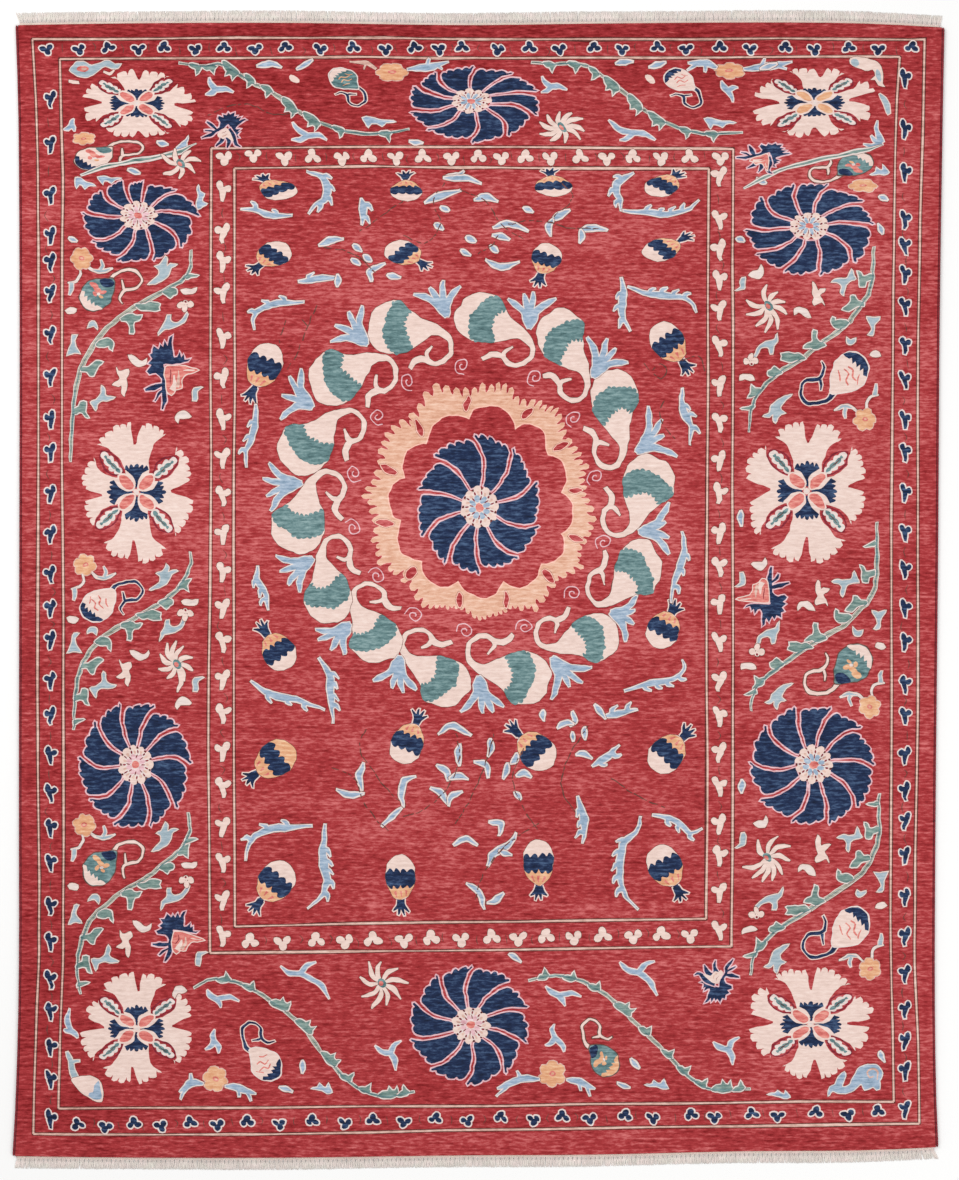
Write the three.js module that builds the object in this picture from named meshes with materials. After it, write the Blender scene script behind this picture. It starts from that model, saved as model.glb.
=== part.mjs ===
// A hand-knotted wool rug, nominally 8 by 10 feet, lying flat.
// Millimetres, +Z up, +Y towards the end that came last off the loom. The origin is the middle of the
// footprint, on the floor. It is five pieces: the knotted body, whose foundation and pile are one cloth,
// an overcast side cord along each long side, and at each short end a plain-woven skirt whose warps run
// on as a short fringe.
import * as THREE from "three";

// Driving sizes.
const bodyThickness = 10; // foundation and pile together
const bodyEdgeRound = 2;
const pieceGap = 0.3;
const cordWidth = 7;
const cordHeight = 9;
const cordRound = 2.5;
const skirtWidth = 9; // the woven strip between the pile and the fringe
const fringeThickness = 3;
const fringeReach = 30; // from the end of the pile to the tips, skirt included
const bundlePitch = 20;
const bundleWidth = 15;
const bundleTipWidth = 12;
const bundleUnevenness = 3;
const stepsAlongAnEdge = 24;

// The long sides, outside the cords, from the first-woven end to the last. They bow in by a centimetre or two.
const sideStations = [
  { y: -1492, left: -1237, right: 1221 },
  { y: -1310, left: -1227, right: 1214 },
  { y: -1000, left: -1220, right: 1211 },
  { y: -500, left: -1220, right: 1214 },
  { y: 100, left: -1219, right: 1220 },
  { y: 700, left: -1218, right: 1224 },
  { y: 1240, left: -1221, right: 1232 },
  { y: 1497, left: -1229, right: 1237 },
];

// The short ends of the pile, from left to right. The first-woven end climbs to the right.
const endStations = [
  { x: -1230, first: -1502, last: 1498 },
  { x: -900, first: -1506, last: 1503 },
  { x: -500, first: -1506, last: 1504 },
  { x: -50, first: -1500, last: 1498 },
  { x: 300, first: -1498, last: 1502 },
  { x: 700, first: -1489, last: 1505 },
  { x: 1000, first: -1487, last: 1503 },
  { x: 1230, first: -1478, last: 1492 },
];

// How far the tip of each corner's outermost bundle splays past the side, and how many bundles share it.
const splayedBundles = 3;
const splay = { firstLeft: 22, firstRight: 30, lastLeft: 18, lastRight: 12 };

// Evenly spaced values from one number to another, both included.
function evenly(from, to) {
  const steps = stepsAlongAnEdge;
  return Array.from({ length: steps + 1 }, (_, i) => THREE.MathUtils.lerp(from, to, i / steps));
}

// A smooth edge through stations, as a function of the place along it.
function smoothEdge(stations, along, across) {
  const knots = stations.map((station) => new THREE.Vector2(station[along], station[across]));
  const points = new THREE.SplineCurve(knots).getPoints(stepsAlongAnEdge * 3);
  return (place) => {
    const inside = THREE.MathUtils.clamp(place, points[0].x, points.at(-1).x);
    const next = Math.max(1, points.findIndex((point) => point.x >= inside));
    const a = points[next - 1];
    const b = points[next];
    return THREE.MathUtils.lerp(a.y, b.y, (inside - a.x) / (b.x - a.x));
  };
}

const leftEdge = smoothEdge(sideStations, "y", "left");
const rightEdge = smoothEdge(sideStations, "y", "right");
const firstEnd = smoothEdge(endStations, "x", "first");
const lastEnd = smoothEdge(endStations, "x", "last");

// The body's corners, where its ends meet its sides, inside the cords.
const bodyInset = cordWidth + pieceGap;
function corner(side, end, inward) {
  const y = end(side(end(0)));
  return { x: side(y) + inward, y };
}
const firstLeft = corner(leftEdge, firstEnd, bodyInset);
const firstRight = corner(rightEdge, firstEnd, -bodyInset);
const lastLeft = corner(leftEdge, lastEnd, bodyInset);
const lastRight = corner(rightEdge, lastEnd, -bodyInset);

// A flat outline given thickness, standing on the floor, its rims rounded.
function slab(outline, thickness, rimRound) {
  const geometry = new THREE.ExtrudeGeometry(new THREE.Shape(outline), {
    depth: thickness - 2 * rimRound,
    bevelEnabled: rimRound > 0,
    bevelThickness: rimRound,
    bevelSize: rimRound,
    bevelOffset: -rimRound,
    bevelSegments: 2,
  });
  return geometry.translate(0, 0, rimRound);
}

// The knotted body: one flat cloth with the rug's uneven outline.
function bodyOutline() {
  const alongEnd = (end, from, to) => evenly(from, to).map((x) => new THREE.Vector2(x, end(x)));
  const alongSide = (side, inward, from, to) =>
    evenly(from, to).map((y) => new THREE.Vector2(side(y) + inward, y));
  return [
    alongEnd(firstEnd, firstLeft.x, firstRight.x),
    alongSide(rightEdge, -bodyInset, firstRight.y, lastRight.y),
    alongEnd(lastEnd, lastRight.x, lastLeft.x),
    alongSide(leftEdge, bodyInset, lastLeft.y, firstLeft.y),
  ].flatMap((run) => run.slice(0, -1));
}

// A side cord: the outermost warps bound with wool, a strip that follows its edge of the body.
function cordOutline(side, inward, from, to) {
  const outside = evenly(from, to).map((y) => new THREE.Vector2(side(y), y));
  const inside = evenly(to, from).map((y) => new THREE.Vector2(side(y) + inward, y));
  return [...outside, ...inside];
}

// A skirt and its fringe, as one comb: bundles of warps side by side, uneven in length, splayed at the corners.
function combOutline(end, outward, from, to, splayLeft, splayRight) {
  const count = Math.round((to - from) / bundlePitch);
  const pitch = (to - from) / count;
  const skirtEdge = (x) => end(x) + outward * skirtWidth;
  const nearness = (bundlesAway) => Math.max(0, 1 - bundlesAway / splayedBundles);
  const bundles = Array.from({ length: count }, (_, i) => {
    const middle = from + (i + 0.5) * pitch;
    const tip = middle + splayRight * nearness(count - 1 - i) - splayLeft * nearness(i);
    const unevenness = (bundleUnevenness * (Math.sin(1.7 * i) + Math.sin(0.37 * i))) / 2;
    const reach = end(middle) + outward * (fringeReach + unevenness);
    return [
      new THREE.Vector2(middle - bundleWidth / 2, skirtEdge(middle)),
      new THREE.Vector2(tip - bundleTipWidth / 2, reach),
      new THREE.Vector2(tip + bundleTipWidth / 2, reach),
      new THREE.Vector2(middle + bundleWidth / 2, skirtEdge(middle)),
    ];
  });
  return [
    new THREE.Vector2(from, skirtEdge(from)),
    ...bundles.flat(),
    new THREE.Vector2(to, skirtEdge(to)),
    ...evenly(to, from).map((x) => new THREE.Vector2(x, end(x) + outward * pieceGap)),
  ];
}

const crimsonWool = { color: 0xb0323a, roughness: 0.95, metalness: 0 };
const maroonWool = { color: 0x6e1a26, roughness: 0.9, metalness: 0 };
const creamCotton = { color: 0xdcd2c6, roughness: 0.95, metalness: 0 };

function piece(name, geometry, finish) {
  const mesh = new THREE.Mesh(geometry, new THREE.MeshStandardMaterial(finish));
  mesh.name = name;
  return mesh;
}

function sideCord(name, side, inward, from, to) {
  return piece(name, slab(cordOutline(side, inward, from, to), cordHeight, cordRound), maroonWool);
}

function fringe(name, end, outward, from, to, splayLeft, splayRight) {
  const outline = combOutline(end, outward, from, to, splayLeft, splayRight);
  return piece(name, slab(outline, fringeThickness, 0), creamCotton);
}

const rug = new THREE.Group();
rug.add(
  piece("rug_body", slab(bodyOutline(), bodyThickness, bodyEdgeRound), crimsonWool),
  sideCord("side_cord_left", leftEdge, cordWidth, firstLeft.y, lastLeft.y),
  sideCord("side_cord_right", rightEdge, -cordWidth, firstRight.y, lastRight.y),
  fringe("fringe_first_end", firstEnd, -1, firstLeft.x, firstRight.x, splay.firstLeft, splay.firstRight),
  fringe("fringe_last_end", lastEnd, 1, lastLeft.x, lastRight.x, splay.lastLeft, splay.lastRight),
);

// The outline is uneven, so the rug shifts until the middle of its footprint is the origin.
const middle = new THREE.Box3().setFromObject(rug).getCenter(new THREE.Vector3());
rug.position.set(-middle.x, -middle.y, 0);

export default rug;
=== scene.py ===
import math
import random

import bpy
import numpy as np
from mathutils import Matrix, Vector
from mathutils.geometry import delaunay_2d_cdt


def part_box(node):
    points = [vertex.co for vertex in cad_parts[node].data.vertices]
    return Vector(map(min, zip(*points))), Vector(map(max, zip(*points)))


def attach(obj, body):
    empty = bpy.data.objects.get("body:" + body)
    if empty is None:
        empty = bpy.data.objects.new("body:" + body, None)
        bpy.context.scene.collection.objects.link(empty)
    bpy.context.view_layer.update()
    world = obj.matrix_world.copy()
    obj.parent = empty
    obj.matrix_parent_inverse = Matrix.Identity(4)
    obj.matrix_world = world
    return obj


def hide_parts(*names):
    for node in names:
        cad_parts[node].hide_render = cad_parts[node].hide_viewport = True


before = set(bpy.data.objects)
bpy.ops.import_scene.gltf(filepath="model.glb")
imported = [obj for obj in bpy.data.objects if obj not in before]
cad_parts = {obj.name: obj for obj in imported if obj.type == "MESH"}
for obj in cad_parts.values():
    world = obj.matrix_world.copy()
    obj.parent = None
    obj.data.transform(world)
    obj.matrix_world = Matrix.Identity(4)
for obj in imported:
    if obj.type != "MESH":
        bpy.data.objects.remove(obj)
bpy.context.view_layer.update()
scene = bpy.context.scene

# ---------------------------------------------------------------------------------------------
# Camera, studio floor and light.
# The rug lies flat on a white sweep and is looked at from straight above, upright, with the
# first-knotted end at the bottom. Two broad soft lights and an even sky keep the dyes true.
# ---------------------------------------------------------------------------------------------
VIEW_HEIGHT = 3.129
LENS = 85.0
SENSOR = 36.0
LOOK_AT = Vector((0.0069, 0.00075, 0.010))

camera_data = bpy.data.cameras.new("overhead_camera")
camera_data.lens = LENS
camera_data.sensor_width = SENSOR
camera_data.clip_end = 100.0
camera = bpy.data.objects.new("overhead_camera", camera_data)
camera.location = LOOK_AT + Vector((0, 0, VIEW_HEIGHT * LENS / SENSOR))
scene.collection.objects.link(camera)
scene.camera = camera
scene.view_settings.view_transform = "Standard"

FLOOR_SIZE = 40.0
floor_mesh = bpy.data.meshes.new("studio_floor")
floor_mesh.from_pydata(
    [(x * FLOOR_SIZE / 2, y * FLOOR_SIZE / 2, 0.0) for x, y in ((-1, -1), (1, -1), (1, 1), (-1, 1))],
    [],
    [(0, 1, 2, 3)],
)
floor = bpy.data.objects.new("studio_floor", floor_mesh)
scene.collection.objects.link(floor)
floor_paint = bpy.data.materials.new("white_sweep")
floor_paint.use_nodes = True
floor_shader = floor_paint.node_tree.nodes["Principled BSDF"]
floor_shader.inputs["Base Color"].default_value = (0.93, 0.93, 0.925, 1)
floor_shader.inputs["Roughness"].default_value = 0.9
floor_shader.inputs["Specular IOR Level"].default_value = 0.1
floor_mesh.materials.append(floor_paint)

sky_light = bpy.data.worlds.new("studio_air")
sky_light.use_nodes = True
sky_light.node_tree.nodes["Background"].inputs["Color"].default_value = (1, 0.995, 0.99, 1)
sky_light.node_tree.nodes["Background"].inputs["Strength"].default_value = 0.62
scene.world = sky_light


def soft_light(name, place, power, size):
    """A square soft box that hangs at a place and faces the middle of the rug."""
    data = bpy.data.lights.new(name, "AREA")
    data.energy = power
    data.size = size
    lamp = bpy.data.objects.new(name, data)
    lamp.location = place
    lamp.rotation_euler = (-Vector(place)).to_track_quat("-Z", "Y").to_euler()
    scene.collection.objects.link(lamp)


soft_light("soft_box_left", (-3.6, 3.2, 5.2), 205.0, 4.2)
soft_light("soft_box_right", (4.0, -2.2, 5.6), 150.0, 4.2)

# ---------------------------------------------------------------------------------------------
# The pile: hand-spun wool knotted row by row on cotton warps and sheared to one height.
# Its pattern is drawn below as a knotter's chart, in centimetres from the middle of the rug:
# each shape is an outline with the dye of its wool, and later shapes are knotted over earlier.
# ---------------------------------------------------------------------------------------------
CHART_MIDDLE = (0.0, -0.05)
chart = []
knotter = random.Random(20)


def line(points, closed=False, step=0.55):
    """A round line drawn through the points."""
    p = np.array(points, float)
    count = len(p)
    if closed:
        before, after = np.roll(p, 1, 0), np.roll(p, -1, 0)
    else:
        before = np.vstack([2 * p[0] - p[1], p[:-1]])
        after = np.vstack([p[1:], 2 * p[-1] - p[-2]])
    back = np.linalg.norm(p - before, axis=1)
    ahead = np.linalg.norm(after - p, axis=1)
    slope = (after - before) / (back + ahead + 1e-9)[:, None]
    run = []
    for i in range(count if closed else count - 1):
        j = (i + 1) % count
        parts = max(1, round(ahead[i] / step))
        t = (np.arange(parts) / parts)[:, None]
        run.append(
            p[i] * (2 * t**3 - 3 * t**2 + 1)
            + slope[i] * ahead[i] * (t**3 - 2 * t**2 + t)
            + p[j] * (3 * t**2 - 2 * t**3)
            + slope[j] * ahead[i] * (t**3 - t**2)
        )
    if not closed:
        run.append(p[-1:])
    return np.vstack(run)


def headings(run):
    """The direction of travel at each point of a line."""
    way = np.gradient(run, axis=0)
    return way / (np.linalg.norm(way, axis=1)[:, None] + 1e-9)


def eased(values):
    """The same values with their corners rounded off, and both ends kept."""
    out = values.copy()
    for _ in range(3):
        out[1:-1] = out[:-2] / 4 + out[1:-1] / 2 + out[2:] / 4
    return out


def travelled(run):
    """How far along a line each of its points is."""
    return np.concatenate([[0], np.cumsum(np.linalg.norm(np.diff(run, axis=0), axis=1))])


def to_left(way):
    """The directions square to some directions, on their left."""
    return np.stack([-way[:, 1], way[:, 0]], 1)


def sides(middle, widths):
    """The left and right edges of a line that has a width at each of its points."""
    across = to_left(headings(middle)) * (eased(widths) / 2)[:, None]
    return middle + across, middle - across


def stroke(points, widths, step=0.55):
    """The outline of a line whose width changes evenly through the widths."""
    middle = line(points, step=step)
    along = travelled(middle)
    left, right = sides(middle, np.interp(along / along[-1], np.linspace(0, 1, len(widths)), widths))
    return np.vstack([left, right[::-1]])


def turned(outline, turn):
    """The same outline turned about its own middle, in degrees."""
    c, s = math.cos(math.radians(turn)), math.sin(math.radians(turn))
    return np.asarray(outline) @ np.array([[c, s], [-s, c]])


def frill(points, lobes, depth, lean=0.0, finger=0.6, uneven=0.0):
    """A line through the points with a row of round lobes standing out on its left."""
    run = line(points, step=0.3)
    along = travelled(run)
    steps = 5
    t = np.linspace(0, 1, lobes * steps + 1)
    tall = np.repeat([knotter.uniform(1 - uneven, 1 + uneven) for _ in range(lobes)], steps)
    tall = np.append(tall, 0.0)
    spine = np.stack([np.interp(t * along[-1], along, run[:, k]) for k in (0, 1)], 1)
    way = headings(spine)
    out = to_left(way)
    bump = np.abs(np.sin(math.pi * lobes * t)) ** finger
    return spine + (out + way * lean) * (bump * depth * tall)[:, None]


def oval(x, y, rx, ry, turn=0.0, points=12):
    """A plain oval."""
    a = np.linspace(0, 2 * math.pi, points, endpoint=False)
    c, s = math.cos(math.radians(turn)), math.sin(math.radians(turn))
    px, py = rx * np.cos(a), ry * np.sin(a)
    return np.stack([x + px * c - py * s, y + px * s + py * c], 1)


def grow(outline, amount):
    """The outline moved out all round by an amount, with its sharp points kept short."""
    keep = np.linalg.norm(outline - np.roll(outline, 1, 0), axis=1) > 0.02
    p = outline[keep]
    ahead = np.roll(p, -1, 0) - p
    area = np.sum(p[:, 0] * np.roll(p[:, 1], -1) - p[:, 1] * np.roll(p[:, 0], -1))
    face = np.stack([ahead[:, 1], -ahead[:, 0]], 1) * (1 if area > 0 else -1)
    face /= np.linalg.norm(face, axis=1)[:, None]
    both = face + np.roll(face, 1, 0)
    size = np.linalg.norm(both, axis=1)
    both /= np.maximum(size, 1e-6)[:, None]
    return p + both * (amount / np.maximum(size / 2, 0.62))[:, None]


def knot(shapes, x=0.0, y=0.0, turn=0.0, wide=1.0, tall=1.0, rim=0.0, rim_dye="blush", edge=0.0):
    """Puts a motif on the chart, sized and turned, with a rim and a dark edge round all of it."""
    placed = []
    for dye, outline in shapes:
        placed.append((dye, turned(np.asarray(outline, float) * (wide, tall), turn) + (x, y)))
    if edge:
        chart.extend(("dusk", grow(outline, rim + edge)) for _, outline in placed)
    if rim:
        chart.extend((rim_dye, grow(outline, rim)) for _, outline in placed)
    chart.extend(placed)


# -- ghosts: faint stems that were knotted almost in the ground's own red
def tendril(points):
    """A hairline stem, knotted here and there only."""
    run = line(points, step=0.5)
    k = 0
    while k < len(run) - 3:
        length = knotter.randint(2, 5)
        piece = run[k:k + length + 1]
        if len(piece) > 2:
            jog = (knotter.uniform(-0.12, 0.12), knotter.uniform(-0.12, 0.12))
            chart.append(("dusk", stroke((piece + jog).tolist(), [0.32, 0.384, 0.224], 0.9)))
        k += length + knotter.randint(0, 2)


# -- guard stripes: each a pair of cream lines with a dark line on either side
OUTER_LINES = [
    [(-118.2, 146), (-40, 146.5), (-10, 146.2), (30, 146), (75, 146.2), (118.7, 146)],
    [(-118.2, 146), (-117.3, 130), (-117, 115), (-116.8, 90), (-116.8, -33), (-116.4, -91),
     (-117.3, -120), (-118, -144.3)],
    [(118.5, 146), (117.8, 125), (117.3, 105), (117, 90), (116.5, 35), (116.4, -30),
     (115.8, -94), (116.5, -120), (116.8, -141.5)],
    [(-118, -144.3), (-65, -144.4), (0, -143.2), (60, -142.3), (116.8, -141.5)],
    [(-111.2, 140.7), (-40, 141.3), (0, 141), (45, 141.2), (111.6, 141.4)],
    [(-111.2, 140.7), (-110.7, 125), (-110.3, 110), (-110.3, 90), (-110.4, 30), (-110, -90),
     (-111, -120), (-111.3, -137.5)],
    [(111.6, 141.4), (110.8, 125), (110.3, 105), (110, 90), (109.7, 30), (109.5, -30),
     (109.4, -92), (110, -120), (110.3, -135.6)],
    [(-111.3, -137.5), (0, -136.8), (60, -136), (110.3, -135.6)],
]
INNER_LINES = [
    [(-71, 117.1), (-30, 117.5), (0, 117.5), (60, 117), (67.7, 117)],
    [(-71, 117.1), (-71, 30), (-71.5, -30), (-71.3, -96.2)],
    [(67.7, 117), (67.3, 95), (67.5, 60), (67.4, -30), (67.1, -94.5)],
    [(-71.3, -96.2), (0, -95.5), (67.1, -94.5)],
    [(-64.6, 111.8), (-30, 112.3), (0, 112), (61.1, 111.7)],
    [(-64.6, 111.8), (-64.8, 30), (-64.8, -89.2)],
    [(61.1, 111.7), (60.8, 60), (60.5, 0), (60.7, -30), (60.5, -87.3)],
    [(-64.8, -89.2), (-35, -88.5), (0, -88), (60.5, -87.3)],
]
for rule in OUTER_LINES + INNER_LINES:
    way = np.array(rule[-1], float) - rule[0]
    way *= 0.28 / np.linalg.norm(way)
    ends = [np.array(rule[0]) - way, *rule[1:-1], np.array(rule[-1]) + way]
    chart.append(("umber", stroke(ends, [1.05, 1.0, 1.1, 1.0], 5.0)))
for rule in OUTER_LINES + INNER_LINES:
    chart.append(("cream", stroke(rule, [0.5, 0.46, 0.52, 0.48, 0.52], 5.0)))


def bud(dye, tulip=False):
    """A guard-stripe flower: two lobes over a round body, or over a tapering stem."""
    size = [knotter.uniform(0.9, 1.1) for _ in range(3)]
    if tulip:
        return [
            (dye, oval(-0.95, 0.85, 0.72 * size[0], 0.85, 25, 10)),
            (dye, oval(0.62, 1.45, 0.72, 1.15 * size[1], -8, 10)),
            (dye, stroke([(0.2, 1.3), (0.1, 0), (-0.1, -1.3), (0, -2.2)], [1.5, 1.35, 1.0, 0.6 * size[2]])),
        ]
    return [
        (dye, oval(-0.95, 0.5, 0.92 * size[0], 0.68, -18, 10)),
        (dye, oval(0.95, 0.6, 0.8, 0.76 * size[1], 18, 10)),
        (dye, oval(0.1, -0.5, 0.86, 0.95 * size[2], 10, 10)),
    ]


TOP_NAVY = [
    -114.5, -106, -98.3, -90.2, -83.3, -75.2, -67.5, -59.2, -51.2, -42, -33.2, -24.7, -17, -10.5, -4.4,
    5, 13.5, 21.5, 30.7, 38, 47.5, 55, 64, 72, 81.5, 89, 98.2, 106, 115,
]
BOTTOM_NAVY = [
    -106.3, -99, -91.3, -84.3, -76.5, -69.3, -61.3, -52.8, -44, -35.5, -28, -19.8, -11.3, -3, 6, 14.5,
    22.2, 29.5, 39, 46.2, 56.5, 62.5, 72.5, 79.3, 89.5, 98, 106,
]
LEFT_NAVY = [
    130, 118, 104.5, 93.8, 86.7, 78.5, 67.5, 56.3, 45, 36.3, 25.3, 14.5, 4, -5, -13.5, -24.3, -33.5, -44,
    -54, -63.3, -72.5, -84, -93.5, -103.5, -112, -121.5, -130, -140.5,
]
RIGHT_NAVY = [
    135.5, 122, 110.5, 98, 91, 83.5, 75, 64.7, 55.5, 45, 36.3, 25.5, 15, 5.2, -5, -14, -25.3, -33.5, -44,
    -53.5, -61.5, -70.5, -81.5, -92, -102, -111.5, -119.7, -127.8, -138,
]
# The stripes' middles, and how much the two bottom ones rise to the right for each centimetre.
OUTER_TOP, OUTER_BOTTOM, OUTER_LEFT, OUTER_RIGHT = 143.2, -140.3, -113.5, 113.1
INNER_TOP, INNER_BOTTOM, INNER_LEFT, INNER_RIGHT = 114.7, -92.3, -67.8, 63.9
OUTER_RISE = 0.016
INNER_RISE = 0.017
TULIPS_CHANGE_SIDES = -40


def navy_bud(x, y, turn, sway=14, wide=1, tulip=False, rim=0.34):
    """A navy guard flower with a pale rim, a little askew."""
    knot(bud("indigo", tulip), x, y, turn + knotter.uniform(-sway, sway), wide, rim=rim, rim_dye="mist")


for i, x in enumerate(TOP_NAVY):
    hangs = i % 2 == 0 and i > 0
    navy_bud(x, OUTER_TOP + (0.9 if hangs else 0.1), 180 if hangs else 0)
for i, x in enumerate(BOTTOM_NAVY):
    hangs = i % 2 == 0
    navy_bud(x, OUTER_BOTTOM + x * OUTER_RISE + (0.5 if hangs else -0.6), 180 if hangs else 0, rim=0.36)
for row, x, side in ((LEFT_NAVY, OUTER_LEFT, 1), (RIGHT_NAVY, OUTER_RIGHT, -1)):
    for y in row:
        navy_bud(x, y, 0, 6, side if y > TULIPS_CHANGE_SIDES else -side, True)

TOP_IVORY = [
    -67.5, -59.8, -51.5, -44, -36.3, -29.2, -22, -14.8, -7.2, 0, 6, 12.5, 19, 27, 34, 41, 48.3, 56, 64.2,
]
BOTTOM_IVORY = [
    -60.5, -52, -43, -35.5, -28, -19.8, -12.5, -4.7, 3.5, 10.5, 18, 25.2, 33, 41, 48.5, 56,
]
LEFT_IVORY = [
    105.5, 94.5, 86.8, 78.5, 66.5, 56, 45, 34.8, 24.8, 14.5, 4.5, -5, -14, -24, -33, -43, -52.5, -63, -72.5,
    -82.5, -92,
]
RIGHT_IVORY = [
    109.5, 98, 90, 82, 74, 64.5, 54, 44.3, 34, 25.5, 14.8, 6, -4, -14, -24.3, -33.7, -43.3, -52.3, -62.3,
    -70.7, -80.5, -90.5,
]
for i, x in enumerate(TOP_IVORY):
    y = INNER_TOP + (0.35 if i % 2 else -0.3)
    knot(bud("ivory"), x, y, 180 if i % 2 and i > 1 else 0, 1.2, 1.3, edge=0.14)
for i, x in enumerate(BOTTOM_IVORY):
    y = INNER_BOTTOM + x * INNER_RISE + (-0.5 if i % 2 else 0.4)
    knot(bud("ivory"), x, y, 0 if i % 2 else 180, 1.3, 1.45, edge=0.14)
for row, x, side in ((LEFT_IVORY, INNER_LEFT, 1.35), (RIGHT_IVORY, INNER_RIGHT, -1.35)):
    for i, y in enumerate(row):
        knot(bud("ivory", True), x, y, knotter.uniform(-8, 8), side if i % 2 else -side, 1.15, edge=0.14)

# faded specks between the guard flowers
for row, height in ((TOP_NAVY, 143.4), (BOTTOM_NAVY, OUTER_BOTTOM), (TOP_IVORY, INNER_TOP),
                    (BOTTOM_IVORY, INNER_BOTTOM)):
    for left, right in zip(row, row[1:]):
        x = (left + right) / 2 + knotter.uniform(-0.8, 0.8)
        y = height + knotter.uniform(-0.6, 0.6) + (x * OUTER_RISE if height < 0 else 0)
        bend = knotter.uniform(-0.7, 0.7)
        chart.append(("dusk", stroke([(x, y - 1.2), (x + bend, y), (x - 0.3, y + 1.1)], [0.1, 0.34, 0.12])))
for row, across in ((LEFT_NAVY, -113.6), (RIGHT_NAVY, 113.2), (LEFT_IVORY, INNER_LEFT),
                    (RIGHT_IVORY, INNER_RIGHT)):
    for high, low in zip(row, row[1:]):
        x, y = across + knotter.uniform(-0.8, 0.8), (high + low) / 2
        bend = knotter.uniform(-0.9, 0.9)
        chart.append(("dusk", stroke([(x, y - 1.4), (x + bend, y), (x - 0.2, y + 1.2)], [0.1, 0.34, 0.12])))


# -- whirling rosettes: ten navy petals with scalloped ends round an ivory core
def rosette(x, y, reach, whirl, gaps, hub, ring_dye="blush", tips=(1.0,) * 10):
    """Ten petals whose tips all swing one way, with red ground and pale lines between them.
    It reaches left, right, down and up from its hub, and each gap has its bearing at the rim,
    half way in and at the hub."""
    west, east, south, north = reach
    core = 0.29
    rows = sorted([whirl * g for g in gap] for gap in gaps)
    rows.append([g + 360 for g in rows[0]])
    curves = [np.polyfit((0.97, 0.62, 0.33), row, 2) for row in rows]

    def at(k, v, r, swept=None):
        """A place in petal k, at a share v of its width and a share r of the reach."""
        low, high = (np.polyval(curves[k + i], swept or r) for i in (0, 1))
        a = math.radians(low + v * (high - low))
        rx = east if math.cos(a) > 0 else west
        ry = north if whirl * math.sin(a) > 0 else south
        u = (r - core) / (1 - core)
        gap = (0.47 + 0.36 * u) / (r * math.hypot(rx * math.sin(a), ry * math.cos(a)))
        a += gap * (1 - 2 * v)
        return (rx * r * math.cos(whirl * a), ry * r * math.sin(whirl * a))

    petals = []
    for k in range(10):
        tip = tips[k] * knotter.uniform(0.99, 1.03)
        shoulder = tip * knotter.uniform(0.81, 0.88)
        trail = [at(k, 0.0, r) for r in (core * 1.04, 0.42, 0.56, 0.7, shoulder - 0.07)]
        start, end = np.array(at(k, 0.0, 0.9)), np.array(at(k, 1.0, 0.9))
        count = max(3, round(np.linalg.norm(end - start) / 2.3))
        marks = np.linspace(0.0, 0.9, count + 1)
        marks[1:-1] += [knotter.uniform(-0.025, 0.025) for _ in marks[1:-1]]
        scallops = []
        for v0, v1 in zip(marks, marks[1:]):
            swell = knotter.uniform(0.055, 0.082)
            for t in (0.04, 0.16, 0.38, 0.62, 0.84, 0.96):
                v = v0 + (v1 - v0) * t
                base = shoulder + (tip - 0.06 - shoulder) * v ** 0.7
                r = base + swell * math.sin(math.pi * t) ** 0.5
                scallops.append(at(k, v, r, (base + r) / 2))
        hook = [at(k, v, r * tip, 0.96) for v, r in ((0.93, 0.965), (0.97, 1), (1.01, 1.01), (1.03, 0.985))]
        lead = [at(k, 1.0, r) for r in (0.93, 0.84, 0.72, 0.58, 0.44, core * 1.04)]
        petals.append(("indigo", np.vstack([line(trail, step=0.9), scallops, hook, line(lead, step=0.9)])))
    knot(petals, x, y, rim=0.37)
    cx, cy = hub

    def spot(dye, a, out, long, across, turn, points):
        """A spot of the heart, at a bearing, all in shares of the hub."""
        place = (cx * out * math.cos(a), cy * out * math.sin(a))
        heart.append((dye, oval(*place, cx * long, cy * across, turn, points)))

    heart = [("mist", oval(0, 0, cx * 0.86, cy * 0.86, 0, 20))]
    for a in (np.arange(11) + 0.5) * 2 * math.pi / 11:
        spot("umber", a, 0.9, 0.07, 0.07, 0, 6)
    for a in np.arange(11) * 2 * math.pi / 11:
        lump = knotter.uniform(0.18, 0.23)
        spot("ivory", a, 0.86, lump, lump, 0, 9)
        spot("cream", a, 0.68, 0.13, 0.07, math.degrees(a), 7)
    for a in np.arange(11) * 2 * math.pi / 11 + 0.28:
        spot("wine", a, 0.7, 0.05, 0.1, math.degrees(a) - 90, 6)
    for a in np.arange(8) * math.pi / 4 + 0.3:
        spot(ring_dye, a, 0.42, 0.2, 0.13, math.degrees(a), 8)
    for a in np.arange(8) * math.pi / 4 + 0.3 + math.pi / 8:
        spot("wine", a, 0.46, 0.13, 0.035, math.degrees(a), 6)
    heart.append(("coral", oval(0, 0, cx * 0.24, cy * 0.22, 0, 8)))
    knot(heart, x, y)


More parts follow.
